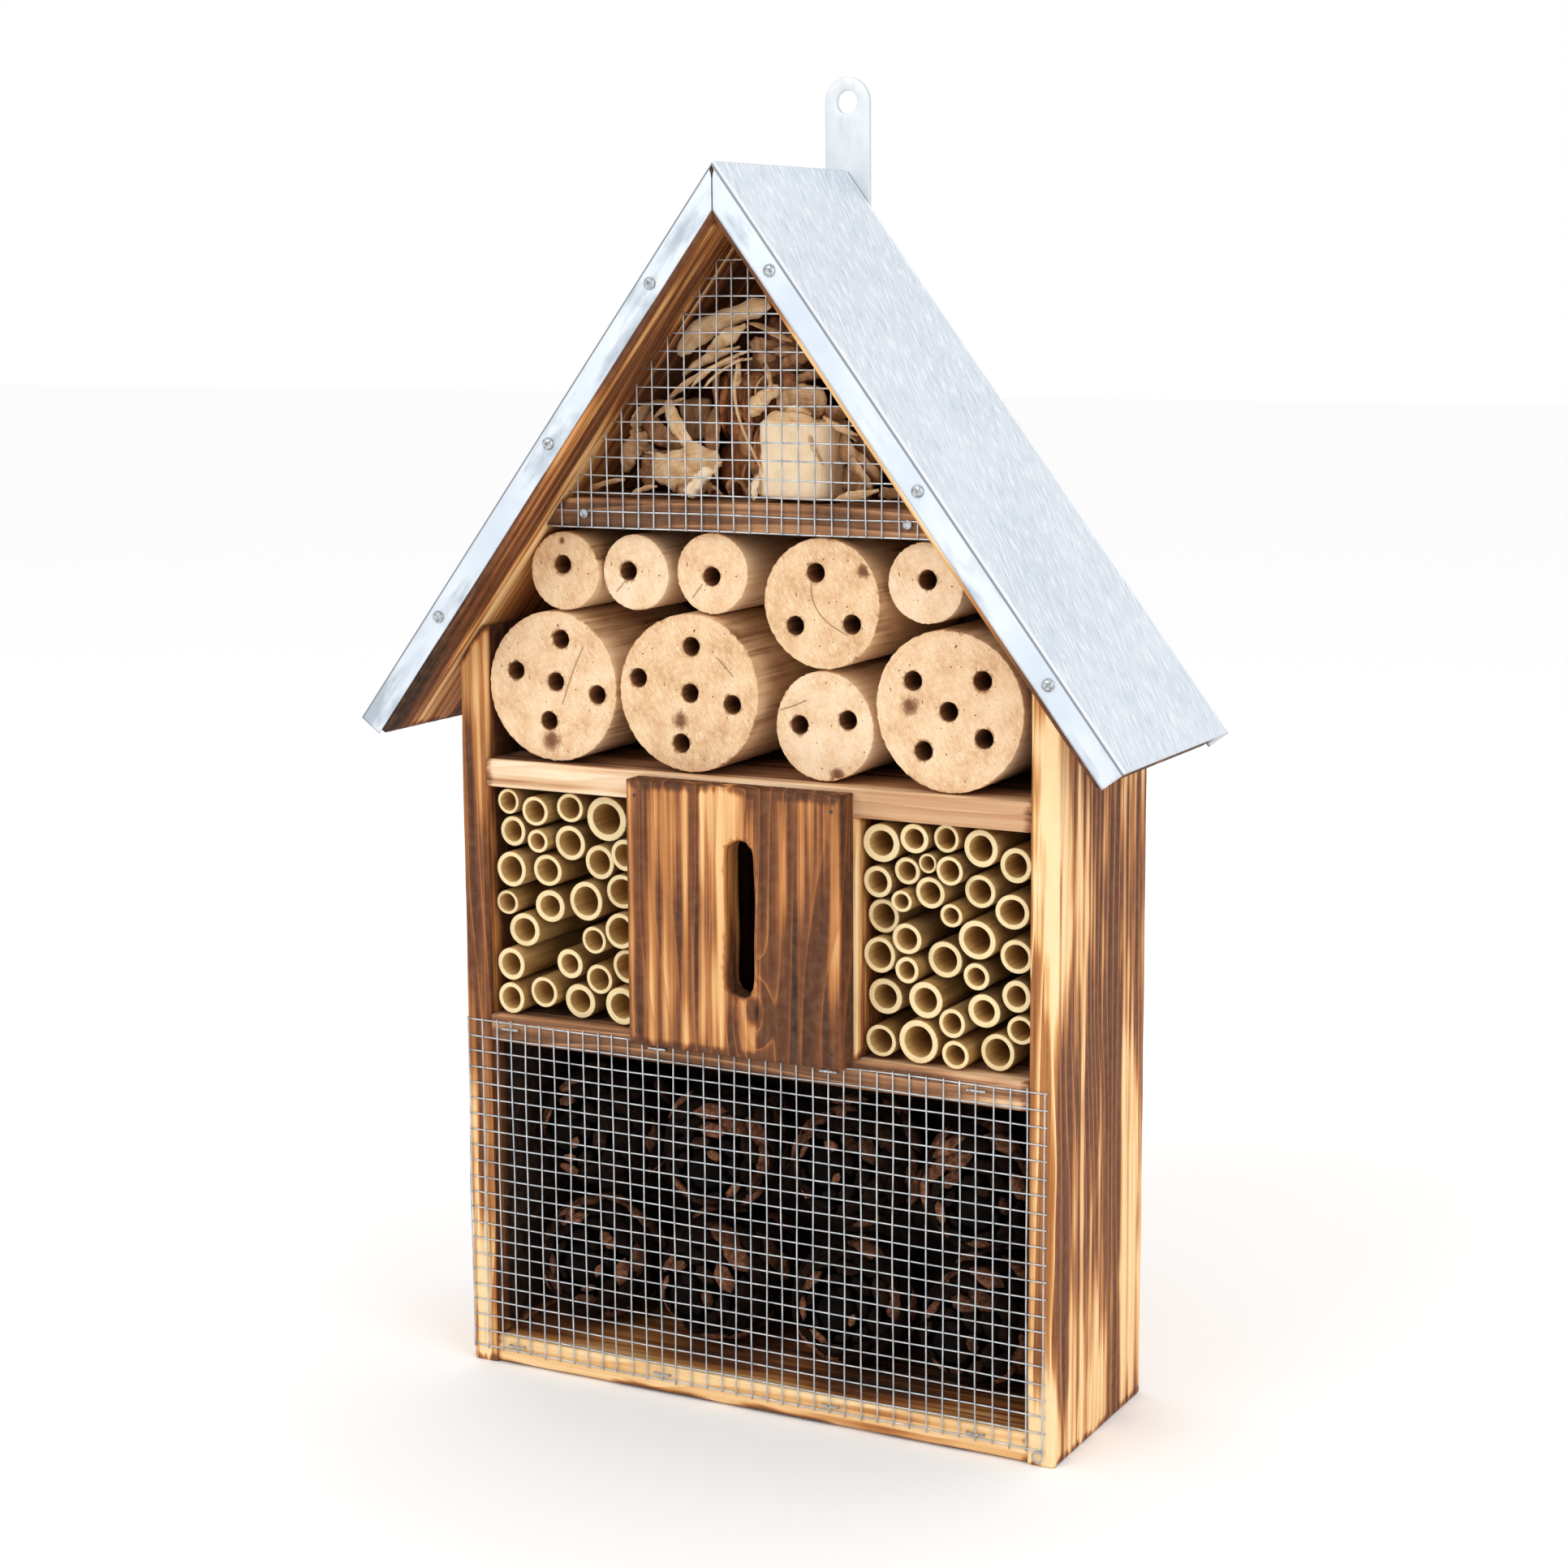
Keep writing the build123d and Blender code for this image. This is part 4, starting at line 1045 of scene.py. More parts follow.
def beside_line(line, gap):
    """Points closely along a bent line and to both sides of it, where a crack needs them."""
    runs = np.r_[0, np.cumsum(np.linalg.norm(np.diff(line, axis=0), axis=1))]
    share = np.arange(0, runs[-1], gap)
    spine = np.c_[np.interp(share, runs, line[:, 0]), np.interp(share, runs, line[:, 1])]
    way = np.gradient(spine, axis=0)
    way = way[:, ::-1] * (1, -1) / np.linalg.norm(way, axis=1, keepdims=True)
    return np.vstack([spine, spine + gap * way, spine - gap * way])


def away_from_line(points, line):
    """Distance of each (x, z) from a bent line, the least over its straight runs."""
    best = np.full(len(points), np.inf)
    for one, two in zip(line[:-1], line[1:]):
        run = two - one
        share = np.clip(((points - one) @ run) / (run @ run), 0, 1)[:, None]
        best = np.minimum(best, np.linalg.norm(points - one - share * run, axis=1))
    return best


for number, node in enumerate(log_names):
    low, high = corners(node)
    x, z, radius = (low[0] + high[0]) / 2, (low[2] + high[2]) / 2, (high[0] - low[0]) / 2
    rng = np.random.default_rng(40 + number)
    turn = np.linspace(0, 2 * pi, round(2 * pi * radius / (1.1 * mm)), endpoint=False)
    phase = rng.uniform(0, 2 * pi, 4)
    uneven = 0.008 * (np.sin(2 * turn + phase[0]) + np.sin(3 * turn + phase[1]) - 2)
    ragged = 0.07 * mm * (np.sin(31 * turn + phase[2]) + np.sin(47 * turn + phase[3]) - 2)
    ragged -= np.abs(rng.normal(0, 0.09, len(turn))) * mm
    out = radius * (1 + uneven) + ragged
    outline = np.c_[x + out * np.cos(turn), z + out * np.sin(turn)]
    holes = []
    for opening in openings:
        if opening["name"].startswith(node + "_hole"):
            middle = np.array(opening["box_m"]).mean(0)[[0, 2]]
            rough = 3.45 * mm - np.abs(rng.normal(0, 0.07, 26)) * mm
            holes.append(middle + circle(0, 0, 1.0, 26) * rough[:, None])
    hole_deep = 49.5 * mm
    crack = rounded(np.array(log_cracks.get(node, no_crack)) * mm) + (x, z)
    seam = beside_line(crack, 0.35 * mm) if node in log_cracks else ()
    knot = np.array(log_knots.get(node, no_knot)) * mm + (x, z, 0)
    tilt = rng.uniform(-0.006, 0.006, 2)

    def log_relief(px, pz):
        flat = np.c_[px, pz]
        off = np.hypot(px - x, pz - z) / radius
        groove = 0.3 * mm * np.exp(-(away_from_line(flat, crack) / (0.25 * mm)) ** 2)
        saw = 0.05 * mm * (1 + np.sin((px * 0.8 + pz * 0.6) / (0.55 * mm) + phase[0]))
        crown = 0.25 * mm * off ** 6
        return groove + saw + crown + np.abs(tilt[0] * (px - x) + tilt[1] * (pz - z))

    def log_marks(points, kind):
        deep = np.clip((points[:, 1] - low[1]) / hole_deep, 0.012, 1) if kind in ("hole", "floor") else 0.0
        flat = points[:, [0, 2]]
        on_face = 1.0 if kind == "face" else 0.0
        split = on_face * np.exp(-(away_from_line(flat, crack) / (0.2 * mm)) ** 2)
        brown = on_face * np.exp(-(np.linalg.norm(flat - knot[:2], axis=1) / knot[2]) ** 2)
        return {"grain": points - (x, -0.11 * number, z), "deep": deep, "crack": split, "knot": brown,
                "cut": on_face}

    shell = Shell("grain", "deep", "crack", "cut", "knot")
    pierced_block(shell, outline, holes, low[1], high[1] - 0.05 * mm, 0.35 * mm, 0.85 * mm, log_relief,
                  log_marks, blind=hole_deep, rows=14, seam=seam)
    shell.make(node, log_woods[number % 3])


# Canes: cut lengths of bamboo packed in the two side bays, open at the front with a knot
# left at the rear. Cut rims are cream, bores have painted light at the mouth and painted shade
# deeper in, rinds olive to brown.

def parts_of(node):
    """Lowest and highest corners of each separate solid of a node."""
    work = bmesh.new()
    work.from_mesh(frame["nodes"][node].data)
    bmesh.ops.remove_doubles(work, verts=work.verts, dist=1e-6)
    seen, found = set(), []
    for vertex in work.verts:
        if vertex in seen:
            continue
        group, queue = [], [vertex]
        seen.add(vertex)
        while queue:
            here = queue.pop()
            group.append(tuple(here.co))
            fresh = [edge.other_vert(here) for edge in here.link_edges if edge.other_vert(here) not in seen]
            seen.update(fresh)
            queue += fresh
        group = np.array(group)
        found.append((group.min(0), group.max(0)))
    work.free()
    return found


def cane_wood(r):
    place = r.read("grain", "Vector")
    deep, cut, tint = r.read("deep"), r.read("cut"), r.read("tint")
    fibre = r.noise(r.stretch(place, 900.0, 22.0, 900.0), detail=3.0)
    stain = r.noise(r.stretch(place, 120.0, 30.0, 120.0), detail=3.0)
    dots = r.noise(r.stretch(place, 2600.0, 0.0, 2600.0), detail=1.0)
    rind = r.ramp(r.weighed(fibre, 0.4, stain), (0.42, (112, 76, 38)), (0.66, (172, 130, 74)),
                  (0.95, (210, 174, 116)))
    rind = r.mix(tint, rind, r.ramp(stain, (0.3, (96, 70, 42)), (0.7, (150, 116, 72))))
    rim = r.mix(r.band(dots, 0.5, 0.7, 0.0, 0.5), (242, 221, 172), (194, 152, 94))
    rim = r.mix(r.band(stain, 0.55, 0.8, 0.0, 0.35), rim, (200, 168, 116))
    # Painted light and shade in the bore: bright at the mouth, darker deeper in.
    bore = r.ramp(deep, (0.0, (222, 186, 124)), (0.08, (206, 164, 100)), (0.3, (178, 132, 74)),
                  (0.8, (112, 76, 40)))
    bore = r.mix(r.band(fibre, 0.4, 0.7, 0.0, 0.3), bore, (96, 68, 38))
    colour = r.mix(r.band(deep, 0.0, 0.01), rind, bore)
    colour = r.mix(cut, colour, rim)
    height = r.math("ADD", r.times(fibre, 0.7), r.times(r.times(dots, cut), 0.6))
    return {"Base Color": colour, "Roughness": r.weighed(cut, 0.3, 0.48),
            "Specular IOR Level": 0.4, "Normal": bump(r, height, 0.00025, 0.5)}


cane = finish("bamboo_cane", cane_wood)


def cane_stem(shell, low, high, rng):
    """One stem turned about its axis: rind with a knot or two, cut rim, bore and blind end;
    its section is slightly oval."""
    around, rind_rows, bore_rows = 26, 22, 9
    x, z, radius = (low[0] + high[0]) / 2, (low[2] + high[2]) / 2, (high[0] - low[0]) / 2
    near, far = low[1] + rng.uniform(0, 0.6) * mm, high[1] - 0.05 * mm
    bore = radius * rng.uniform(0.62, 0.72)
    slim = radius * 0.95
    knots = rng.uniform(near + 14 * mm, far - 8 * mm, 2)
    y = np.linspace(far, near + 0.5 * mm, rind_rows)
    swell = np.exp(-((y[:, None] - knots) / (1.3 * mm)) ** 2).max(1)
    rind = np.c_[slim + (radius - slim) * swell, y]
    mouth = np.array([(-0.06, 0.18), (-0.3, 0), (-0.35, 0)]) * mm + (slim, near)
    inner = np.array([(0.25, 0), (0.2, 0), (0.03, 0.2)]) * mm + (bore, near)
    wall = np.c_[np.full(bore_rows, bore), near + np.linspace(0.6 * mm, (far - near) * 0.86, bore_rows)]
    profile = np.vstack([rind, mouth, inner, wall])
    cut = np.r_[np.zeros(rind_rows), 0.6, 1, 1, 1, 1, 0.5, np.zeros(bore_rows)]
    deep = np.r_[np.zeros(rind_rows + 5), 0.01, np.linspace(0.015, 1, bore_rows)]
    turn = np.linspace(0, 2 * pi, around, endpoint=False)
    lean = rng.uniform(0, pi)
    oval = 1 - 0.025 * (1 + np.cos(2 * turn - lean))
    inside = np.arange(len(profile)) > rind_rows + 2
    wobble = 1 - 0.012 * (1 + np.sin(3 * turn + lean)) * inside[:, None]
    out = profile[:, :1] * oval * wobble
    slant = 0.25 * mm * np.sin(turn + lean) * (cut > 0.3)[:, None]
    rows = spots(x + out * np.cos(turn), profile[:, 1:] + np.abs(slant), z + out * np.sin(turn))
    grain = rows - (x, rng.uniform(0, 3), z)
    tint = rng.choice((0.0, 0.0, 0.15, 0.5, 0.8))
    marks = {"cut": np.repeat(cut, around), "deep": np.repeat(deep, around), "tint": tint}
    shell.loft(rows, grain=grain, **marks)
    shell.cap(rows[0], grain=grain[0], tint=tint)
    shell.cap(rows[-1], grain=grain[-1], deep=1.0)


for side in ("left", "right"):
    for row in range(1, 5):
        node = f"{side}_reeds_row_{row}"
        rng = np.random.default_rng(row + (10 if side == "left" else 20))
        shell = Shell("grain", "deep", "cut", "tint")
        for low, high in parts_of(node):
            cane_stem(shell, low, high, rng)
        shell.make(node, cane, merge=1e-7)


# Pine cones: dry and open, lying in two tiers with their tips to the front; dark brown of their
# own and painted nearly black for the shade of their chamber. Each is a core with curved scales
# set round it in a spiral, thick and brown at their ends.

cone_poses = ((60, 51, 80, 12), (62, 52, 98, -10), (60, 51, 84, 8), (62, 51, 96, -12),
              (60, 52, 86, -14), (62, 51, 100, 10), (60, 52, 82, -8), (61, 51, 97, 14))


def scale_form():
    """One cone scale lying along +X: a tongue that widens to a thick, blunt lozenge with a
    small boss, as rings of six points from root to tip; the last value is nearness to the tip."""
    along = np.array([0.0, 0.45, 0.78, 0.93, 1.0, 1.03])
    wide = np.array([0.16, 0.3, 0.44, 0.42, 0.22, 0.05])
    thick = np.array([0.06, 0.08, 0.16, 0.24, 0.18, 0.04])
    rise = np.array([0.0, -0.05, 0.0, 0.07, 0.12, 0.13])
    turn = np.linspace(0, 2 * pi, 6, endpoint=False)
    x = np.repeat(along[:, None], 6, 1)
    y = wide[:, None] * np.cos(turn)
    z = rise[:, None] + thick[:, None] * np.sin(turn)
    return np.stack([x, y, z], -1), np.repeat(np.array([0, 0.0, 0.45, 0.9, 1, 1.0])[:, None], 6, 1)


def cone_wood(r):
    place = r.read("grain", "Vector")
    tip, tint = r.read("tip"), r.read("tint")
    grainy = r.noise(place, 420.0, 4.0, 0.65)
    # Painted shade: the scales' body is near black for the dark of the chamber; their ends are brown.
    base = r.ramp(grainy, (0.35, (5, 3, 2)), (0.7, (20, 11, 7)))
    end = r.ramp(grainy, (0.3, (66, 38, 26)), (0.52, (126, 80, 56)), (0.75, (172, 124, 96)))
    share = r.times(r.band(tip, 0.72, 1.0), r.band(tint, 0.45, 0.9, 0.03, 1.0))
    return {"Base Color": r.mix(share, base, end), "Roughness": 0.85, "Specular IOR Level": 0.08,
            "Normal": bump(r, grainy, 0.0006, 0.6)}


cone_material = finish("pine_cone_scales", cone_wood)
scale_rings, scale_tip = scale_form()
golden = pi * (3 - 5 ** 0.5)
scales, per_scale = 92, scale_tip.size
core_turn = np.linspace(0, 2 * pi, 14, endpoint=False)
core_level = np.linspace(0.02, 0.93, 12)
core_swell = 0.52 * np.sin(pi * np.clip(0.1 + 0.86 * core_level, 0, 1)) ** 0.7
for number, (tall, across, tilt, swing) in enumerate(cone_poses, 1):
    node = f"pine_cone_{number}"
    low, high = corners(node)
    tall, half = tall * mm, across / 2 * mm
    rng = np.random.default_rng(70 + number)
    order = np.arange(scales) + 0.5
    level = order / scales
    belly = np.sin(pi * np.clip(0.13 + 0.82 * level, 0, 1)) ** 0.62
    reach = half * 0.97 * belly * rng.uniform(0.93, 1.0, scales)
    length = np.maximum(reach, 5 * mm) * 0.8
    lift = (0.06 + 0.84 * level) * tall
    spin = order * golden + rng.uniform(-0.08, 0.08, scales)
    pitch = np.radians(-18 + 78 * level + rng.uniform(-7, 7, scales))
    reach, length, lift, spin, pitch = (each[:, None, None] for each in (reach, length, lift, spin, pitch))
    x, y, z = (length * scale_rings[..., axis] for axis in range(3))
    y = y * np.minimum(1, half / length)
    x, z = x * np.cos(pitch) - z * np.sin(pitch), x * np.sin(pitch) + z * np.cos(pitch)
    x = x + (reach - length * np.cos(pitch)).clip(0)
    z = (z + lift - 0.55 * length * np.sin(pitch)).clip(0.3 * mm, tall - 0.3 * mm)
    points = spots(x * np.cos(spin) - y * np.sin(spin), x * np.sin(spin) + y * np.cos(spin), z)
    core_out = half * core_swell[:, None]
    core = spots(core_out * np.cos(core_turn), core_out * np.sin(core_turn), core_level[:, None] * tall)
    lying = np.array(Matrix.Rotation(radians(swing), 3, "Z") @ Matrix.Rotation(radians(tilt), 3, "X"))
    placed, core = points @ lying.T, core @ lying.T
    extent_low, extent_high = placed.reshape(-1, 3).min(0), placed.reshape(-1, 3).max(0)
    shrink = min(1.0, float(np.min((high - low) / (extent_high - extent_low))))
    shift = (low + high) / 2 - shrink * (extent_low + extent_high) / 2
    placed, core = placed * shrink + shift, core * shrink + shift
    shell = Shell("grain", "tip", "tint")
    starts = per_scale * np.arange(scales)
    tints = np.repeat(rng.uniform(0, 1, scales) ** 1.3, per_scale)
    local = scale_rings * 0.02 + 0.07 * np.arange(scales)[:, None, None, None]
    shell.add(placed, (ring_quads(6, 6) + starts[:, None, None]).reshape(-1, 4), grain=local,
              tip=np.tile(scale_tip.ravel(), scales), tint=tints)
    for ring in (0, 5):
        shell.faces += (6 * ring + np.arange(6) + starts[:, None]).tolist()
    shell.tube(core, grain=core)
    shell.make(node, cone_material, merge=1e-8)


# Gable filling: torn and shaved softwood behind the mesh. Long shavings fan out at the upper
# left, dark fibrous bark hangs in the middle, and a torn cream block stands at the right.

def strip(shell, path, width, thick, start_turn, twist, tint, seed, taper=0.25, steps=18):
    """A shaving: a Bezier curve through four guide points, carrying a thin lens section that
    turns by the twist along it, with wavering edges and narrowed ends."""
    guide = np.array(path, float) * mm + gable_origin
    share = np.linspace(0, 1, steps)[:, None]
    weights = [(1 - share) ** 3, 3 * share * (1 - share) ** 2, 3 * share ** 2 * (1 - share), share ** 3]
    spine = sum(weight * point for weight, point in zip(weights, guide))
    run = np.gradient(spine, axis=0)
    run /= np.linalg.norm(run, axis=1, keepdims=True)
    first = np.cross(run, (0.0, 1.0, 0.001))
    first /= np.linalg.norm(first, axis=1, keepdims=True)
    second = np.cross(run, first)
    angle = start_turn + twist * share
    flat = np.cos(angle) * first + np.sin(angle) * second
    thin = np.cross(run, flat)[:, None]
    rng = np.random.default_rng(900 + seed)
    phase = rng.uniform(0, 2 * pi, 3)
    wide = 1 + 0.14 * np.sin(9 * share + phase[0]) + 0.08 * np.sin(23 * share + phase[1])
    ends = np.clip(np.minimum(share, 1 - share) / taper, 0.22, 1) ** 0.6
    half = width * mm / 2 * wide * ends
    lanes = np.array([-1, -0.55, 0, 0.55, 1])
    lens = thick * mm / 2 * (1.1 - lanes ** 2)
    curl = 0.22 * half * (lanes ** 2) * np.sin(phase[2] + 3 * share)
    middle = spine[:, None] + (half * lanes)[..., None] * flat[:, None]
    upper = middle + (curl + lens)[..., None] * thin
    lower = middle + (curl - lens)[..., None] * thin
    rows = np.concatenate([upper, lower[:, ::-1]], 1)
    place = spots(share * len(spine) * 2 * mm, np.r_[lanes, lanes[::-1]] * half, seed * 0.31)
    shell.tube(rows, grain=place, tint=tint)


def lump(shell, middle, size, turn, ragged, tint, seed, rings=26, around=40):
    """A torn block: a rounded box whose sides are split into ridges along its grain (up), with
    a ragged top and bottom. Rings run up it, each pushed in and out by sums of sines."""
    rng = np.random.default_rng(seed)
    level = np.linspace(-1, 1, rings)[:, None]
    angle = np.linspace(0, 2 * pi, around, endpoint=False)[None]
    phase = rng.uniform(0, 2 * pi, 6)
    square = (np.abs(np.cos(angle)) ** 5 + np.abs(np.sin(angle)) ** 5) ** -0.2
    ridge_in = 1 - ragged * (0.5 + 0.5 * np.sin(11 * angle + 1.5 * level + phase[0])) * 0.6
    ridge_in = ridge_in - ragged * (0.5 + 0.5 * np.sin(23 * angle - 2.3 * level + phase[1])) * 0.4
    waist = (level - 0.25 * np.sin(2 * angle + phase[2])) / 0.16
    ridge_in = ridge_in - ragged * 0.8 * np.exp(-waist ** 2)
    ends = np.sqrt(np.clip(1 - np.clip((np.abs(level) - 0.86) / 0.14, 0, 1) ** 2, 0.0, 1))
    out = square * ridge_in * (0.15 + 0.85 * ends)
    x = out * np.cos(angle) * size[0] / 2
    y = out * np.sin(angle) * size[1] / 2
    tears = 1 + np.sin(5 * angle + phase[3]) + np.sin(9 * angle + phase[4])
    z = level * size[2] / 2 * (1 - 0.1 * ragged * tears)
    leaned = spots(x * cos(turn) - z * sin(turn), y, x * sin(turn) + z * cos(turn))
    rows = leaned * mm + gable_origin + np.array(middle) * mm
    place = spots(z, x, y) * mm + seed * 0.17
    shell.tube(rows, grain=place, tint=tint)


def torn_wood(r):
    """Pale torn softwood at tint 1, tan at a half and dark bark at 0, with long split fibre; near tint 1 a
    painted light lifts it out of the shade of the mesh and roof.
    """
    place, tint = r.read("grain", "Vector"), r.read("tint")
    fibre = r.noise(r.stretch(place, 60.0, 1300.0, 900.0), detail=3.0)
    blotch = r.noise(place, 190.0, 3.0)
    pale = r.ramp(r.weighed(fibre, 0.5, blotch), (0.45, (196, 144, 92)), (0.7, (228, 186, 136)),
                  (0.95, (247, 220, 178)))
    brown = r.ramp(r.weighed(fibre, 0.6, blotch), (0.45, (44, 20, 9)), (0.75, (118, 60, 26)),
                   (1.0, (172, 104, 54)))
    colour = r.mix(tint, brown, pale)
    # Painted light: pieces at tint near 1 are lightened against the shade of the mesh and roof.
    colour = r.mix(r.band(tint, 0.94, 1.0, 0.0, 0.6), colour, (255, 238, 208))
    height = r.math("ADD", fibre, r.times(blotch, 0.6))
    return {"Base Color": colour, "Roughness": 0.78, "Specular IOR Level": 0.25,
            "Normal": bump(r, height, 0.0005, 0.6)}


torn = finish("torn_softwood", torn_wood)
gable_origin = np.array([0, front, corners("gable_shelf")[1][2]])


def filling(name, rows):
    """One piece of the filling. A shaving's row has four guide points, width, thickness, first
    turn, twist, tint, seed and, where they differ, taper and steps; a lump's row has its middle
    and size, then the rest as the function above takes it."""
    shell = Shell("grain", "tint")
    for row in rows:
        if isinstance(row[2], tuple):
            strip(shell, row[:4], *row[4:])
        else:
            lump(shell, *row)
    shell.make(name, torn, merge=1e-8)


filling("long_shaving", [
    ((-33, 15, 51), (-26, 11, 60), (-12, 10, 64), (5, 12, 69), 7.4, 1.4, 0.15, 0.1, 0.84, 1, 0.12),
])

# Ten thin shavings spread out like a fan.
fans = (
    ((-21, 13, 49), (-16, 10, 55), (-11, 9, 57), (-4, 11, 61.5), 5.2, 0.92),
    ((-30, 12, 44), (-22, 9, 49), (-15, 8, 51), (-6, 10, 54), 3.4, 0.74),
    ((-36, 12, 36), (-26, 8, 43), (-14, 7, 48), (-1, 9, 53), 2.0, 0.86),
    ((-31, 11, 38), (-21, 7, 45), (-12, 6, 49), (0, 8, 50), 1.6, 0.7),
    ((-25, 9, 40), (-19, 5, 44), (-13, 5, 48), (-5, 7, 51), 2.4, 0.9),
    ((-19, 8, 40), (-15, 5, 43), (-10, 5, 47), (-3, 7, 50), 1.8, 0.8),
    ((-38, 13, 33), (-32, 10, 38), (-25, 9, 43), (-18, 11, 46), 3.0, 0.5),
    ((-6, 9, 50), (-4, 6, 46), (-5, 6, 43), (-6, 8, 40), 2.6, 0.94),
    ((-3, 12, 62), (2, 9, 62), (8, 10, 59), (13, 13, 56), 3.0, 0.55),
    ((3, 13, 48), (6, 8, 45), (8, 8, 40), (6, 11, 36), 1.8, 0.8),
)
filling("fan_shavings", [
    (*guide, width, 0.9, 0.25 * number, 0.5, tint, 10 + number)
    for number, (*guide, width, tint) in enumerate(fans)
])


def bark_strips():
    """Upright fibres over the dark core, and torn brown pieces under the right slope."""
    rng = np.random.default_rng(5)
    strips = []
    for number in range(16):
        x, z, tall = rng.uniform(-24, 1), rng.uniform(1, 30), rng.uniform(12, 26)
        lean, y = rng.uniform(-3, 3), rng.uniform(15, 22)
        strips.append((
            (x, y, z), (x + lean, y - 3, z + tall * 0.3), (x + lean, y - 2, z + tall * 0.7),
            (x + lean * 0.5, y + 2, min(z + tall, 50)), rng.uniform(2.5, 6), 0.9, rng.uniform(-0.6, 0.6),
            rng.uniform(-1, 1), rng.choice((0.02, 0.08, 0.16, 0.26)), 50 + number))
    for number in range(14):
        x, z = rng.uniform(-9, 14), rng.uniform(40, 60)
        x = min(x, (78 - z) * 0.7 - 6)
        run, y = rng.uniform(7, 14), rng.uniform(14, 22)
        rise = rng.uniform(-6, 6)
        strips.append((
            (x, y, z), (x + 0.3 * run, y - 3, z + rise * 0.5), (x + 0.7 * run, y - 2, z + rise),
            (x + run * 0.9, y + 2, min(z + rise * 0.6, 74 - x)), rng.uniform(2.5, 5.5), 0.9,
            rng.uniform(-0.6, 0.6), rng.uniform(-1, 1), rng.choice((0.1, 0.2, 0.34, 0.45)), 70 + number))
    return strips


filling("bark_piece", [
    ((-13, 26, 24), (19, 14, 46), 0.03, 0.5, 0.03, 31),
    ((3, 27, 50), (25, 9, 24), -0.5, 0.4, 0.16, 35),
    ((-31, 23, 28), (13, 3, 15), 0.1, 0.12, 0.3, 36),
    *bark_strips(),
])


def curl_ring():
    """An open ring seen on edge, as four Bezier arcs."""
    arcs = []
    turns = np.linspace(1.1, 2 * pi * 0.83, 5)
    for begin, end in zip(turns[:-1], turns[1:]):
        reach = 4 / 3 * tan((end - begin) / 4)
        one, two = np.array((cos(begin), sin(begin))), np.array((cos(end), sin(end)))
        guides = (one, one + reach * one[::-1] * (-1, 1), two - reach * two[::-1] * (-1, 1), two)
        arcs.append((*[(-42 + 9.5 * x, 15, 25 + 9.5 * z) for x, z in guides],
                     12, 1.0, pi / 2, 0.05, 0.7, 100, 0.02, 10))
    return arcs


# The ring, a brown leaf inside it, and small curls on the shelf.
filling("curled_shaving", curl_ring() + [
    ((-48, 17, 29), (-44, 14, 25), (-40, 14, 21), (-34, 17, 17), 9, 1.0, 0.2, 0.3, 0.24, 101, 0.1),
    ((-57, 16, 9), (-54, 12, 15), (-51, 12, 19), (-47, 15, 23), 6.5, 1.0, 0.2, 0.3, 0.5, 102, 0.15),
    ((-50, 19, 4), (-48, 15, 9), (-46, 15, 12), (-45, 18, 17), 8, 1.0, -0.2, 0.4, 0.26, 103, 0.15),
    ((-70, 12, 2), (-65, 7, 4), (-59, 7, 6), (-53, 9, 6.5), 2.6, 0.9, 0.4, 0.6, 0.6, 104),
    ((-50, 9, 1.2), (-46, 6, 3), (-43, 6, 4), (-39, 8, 4.5), 2.2, 0.9, 0.3, 0.5, 0.66, 105),
    ((-20, 12, 2), (-18, 8, 6), (-15, 8, 5), (-14, 11, 1.5), 2.4, 0.9, 0.3, 0.8, 0.4, 106),
    ((-12, 13, 2), (-11, 9, 9), (-5, 9, 9), (-4, 12, 2), 3.4, 0.9, 0.9, 0.8, 0.3, 107),
    ((-4, 13, 1.5), (-2, 9, 6), (1, 9, 7), (2, 12, 11), 3.0, 0.9, 0.3, 0.8, 0.34, 108),
])

# A broad tan chip, its paler torn lower corner, lightened further by painted light, and slivers beside it.
filling("broad_chip", [
    ((-41, 11, 7), (-34, 8, 12), (-26, 8, 12), (-15, 11, 15), 14, 1.6, 0.1, 0.15, 0.76, 110, 0.2),
    ((-34, 13, 3), (-30, 9, 5), (-26, 9, 4), (-19, 12, 5), 7, 1.2, 0.2, 0.3, 0.66, 111, 0.2),
    ((-22.5, 6.5, 5.2), (5.5, 4.5, 9.5), -0.75, 0.3, 1.0, 37, 14, 24),
    ((-21, 7, 7), (-19, 4, 9), (-17, 4, 10), (-15, 6, 10.5), 4.4, 1.2, 0.2, 0.3, 1.0, 112, 0.15),
    ((-14, 7, 8), (-14.5, 5, 11), (-13, 5, 13), (-12, 7, 14), 1.3, 0.8, 0.2, 0.5, 0.9, 113),
])

filling("flat_chip", [
    ((-35, 9, 35), (-31.5, 7, 29), (-28, 6, 24), (-24.5, 8, 17.5), 5.6, 1.3, 0.1, 0.05, 0.93, 120, 0.03),
    ((-42, 12, 29), (-37, 9, 32), (-33, 9, 34), (-29, 11, 36), 2.2, 0.9, 0.3, 0.4, 0.5, 121),
])

# A flat tan chip on the block, a pale chip left of it, and the long thin curl.
filling("tan_chip", [
    ((7, 14, 34), (13, 11, 36), (18, 11, 36), (26, 14, 35), 10.5, 1.6, 0.1, 0.1, 0.55, 130, 0.06),
    ((-2, 11, 30), (1, 8, 34), (4, 8, 37), (9, 11, 40), 5.6, 1.3, 0.2, 0.3, 0.9, 131, 0.12),
    ((22, 18, 30), (25, 14, 32), (28, 14, 32), (32, 17, 30), 6.5, 1.4, 0.3, 0.3, 0.3, 132, 0.12),
    ((-6, 9, 50), (-9, 6, 36), (-4, 5, 26), (7.5, 7, 6), 1.7, 1.0, 0.3, 0.6, 0.82, 133),
    ((3, 12, 44), (0, 9, 41), (-1, 9, 37), (2, 12, 33), 1.2, 0.8, 0.8, 0.9, 0.75, 134),
])
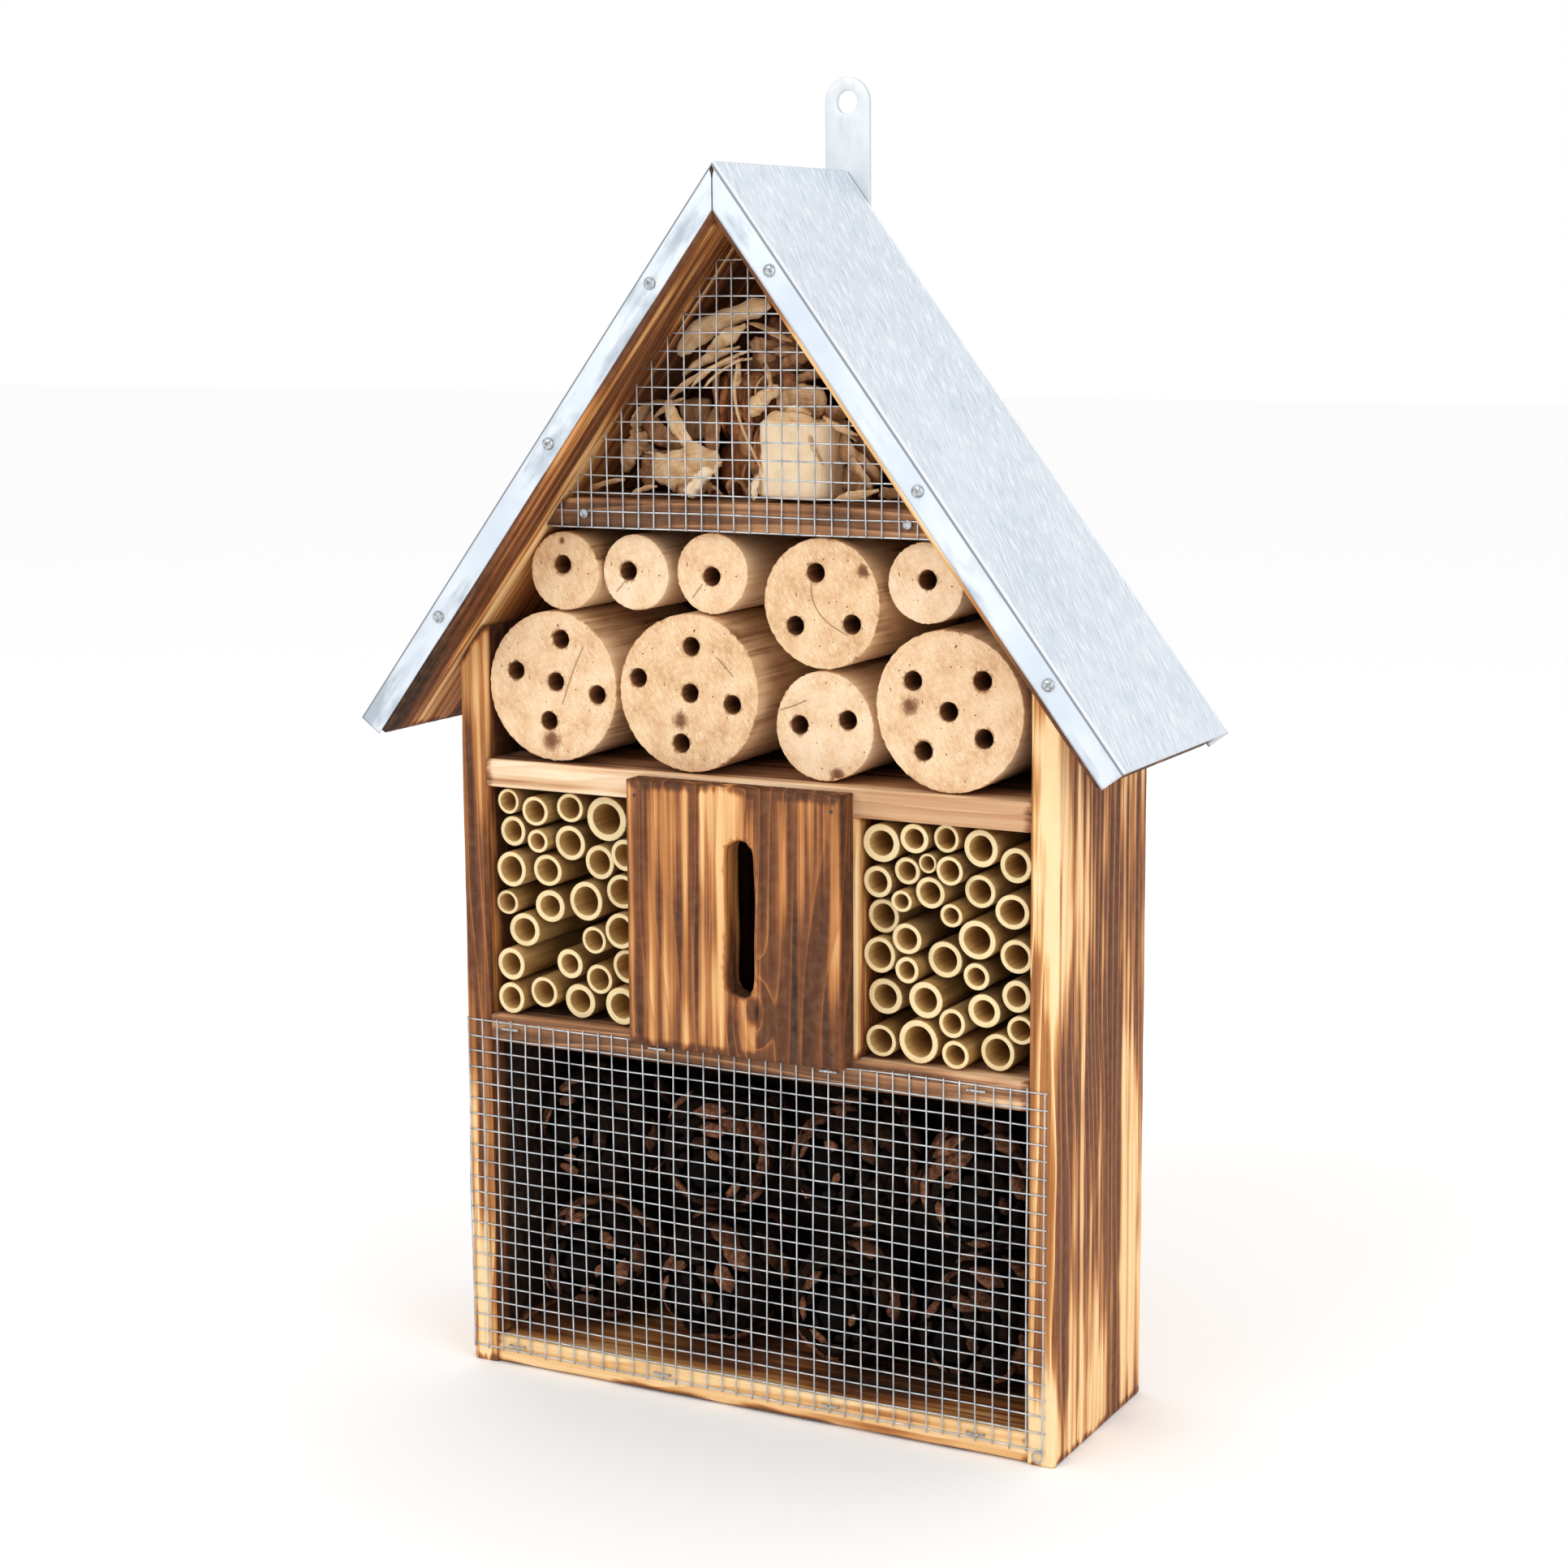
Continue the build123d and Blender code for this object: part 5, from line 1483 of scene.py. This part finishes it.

# A smooth pale block, made paler still by painted light, with faint upright fibre, a torn fringe on top and a
# torn corner.
filling("wood_block", [
    ((15.5, 17, 15), (29, 23, 29.5), -0.03, 0.035, 1.0, 33),
    ((5, 9, 28), (11, 5.5, 31), (18, 5.5, 31), (25, 9, 28), 4.5, 2.0, 0.3, 0.2, 0.86, 160, 0.2),
    ((13, 8, 31), (16, 6, 33.5), (20, 6, 33), (23, 8, 31), 3.0, 1.6, 0.3, 0.2, 0.9, 161),
    ((22, 8, 27), (23.5, 4.5, 22), (26, 4.5, 18), (28, 7, 14), 1.6, 0.9, 0.2, 0.2, 0.7, 162),
    ((2.5, 7, 9), (2.5, 4, 6), (2, 4, 4), (1.5, 6, 1.2), 3.0, 1.6, 0.1, 0.1, 1.0, 163),
    ((27, 10, 30), (31, 7, 28), (35, 7, 26), (40, 10, 24), 3.0, 1.2, 0.3, 0.4, 0.86, 164),
])

filling("right_bark", [
    ((37, 21, 13), (15, 7, 24), -0.5, 0.35, 0.3, 38),
    ((30, 17, 22), (35, 12, 19), (39, 11, 14), (46, 15, 8), 9, 2.0, 0.2, 0.4, 0.36, 170, 0.1),
    ((36, 13, 16), (40, 10, 13), (43, 10, 9), (44, 13, 4), 5, 1.4, 0.3, 0.6, 0.5, 171),
    ((32, 9, 1.6), (37, 6, 3), (42, 6, 3.5), (49, 8, 5.5), 3.4, 1.2, 0.2, 0.3, 0.92, 172),
    ((24, 13, 27), (29, 9, 30), (33, 9, 27), (38, 13, 22), 4, 1.2, 0.6, 0.6, 0.42, 173),
    ((46, 15, 3), (51, 11, 5), (55, 11, 5), (60, 14, 3), 4.5, 1.2, 0.2, 0.4, 0.35, 174),
])


# Stage: a plain pale floor under an even white sky, a soft light at the left and a weaker one
# at the right, and the camera a little above the middle, to the right of the front.

floor_mesh = bpy.data.meshes.new("floor")
floor_mesh.from_pydata([(-9, -9, 0), (9, -9, 0), (9, 9, 0), (-9, 9, 0)], [], [(0, 1, 2, 3)])
floor = bpy.data.objects.new("floor", floor_mesh)
bpy.context.scene.collection.objects.link(floor)
floor_mesh.materials.append(finish("pale_floor", lambda r: {
    "Base Color": (0.97, 0.97, 0.97, 1), "Roughness": 0.9, "Specular IOR Level": 0.1}))

world = bpy.data.worlds.new("studio")
bpy.context.scene.world = world
world.use_nodes = True
world.node_tree.nodes["Background"].inputs["Color"].default_value = (1, 1, 1, 1)
world.node_tree.nodes["Background"].inputs["Strength"].default_value = 1.0
for name, place, size, watts in (("left_softbox", (-0.7, -1.9, 1.5), 1.3, 11),
                                 ("right_softbox", (1.5, -0.6, 0.9), 1.2, 6)):
    light = bpy.data.lights.new(name, "AREA")
    light.size, light.energy = size, watts
    lamp = bpy.data.objects.new(name, light)
    toward = Vector((0, 0, 0.22)) - Vector(place)
    lamp.matrix_world = Matrix.Translation(place) @ toward.to_track_quat("-Z", "Y").to_matrix().to_4x4()
    bpy.context.scene.collection.objects.link(lamp)

bpy.context.scene.view_settings.view_transform = "Standard"
camera = bpy.data.cameras.new("camera")
camera.lens, camera.sensor_width, camera.shift_y = 68.15, 36.0, -0.031
eye = bpy.data.objects.new("camera", camera)
eye.matrix_world = Matrix.Translation((0.4963, -0.9411, 0.4064))
for angle, axis in ((27.869, "Z"), (90 - 8.618, "X"), (-0.344, "Z")):
    eye.matrix_world = eye.matrix_world @ Matrix.Rotation(radians(angle), 4, axis)
bpy.context.scene.collection.objects.link(eye)
bpy.context.scene.camera = eye
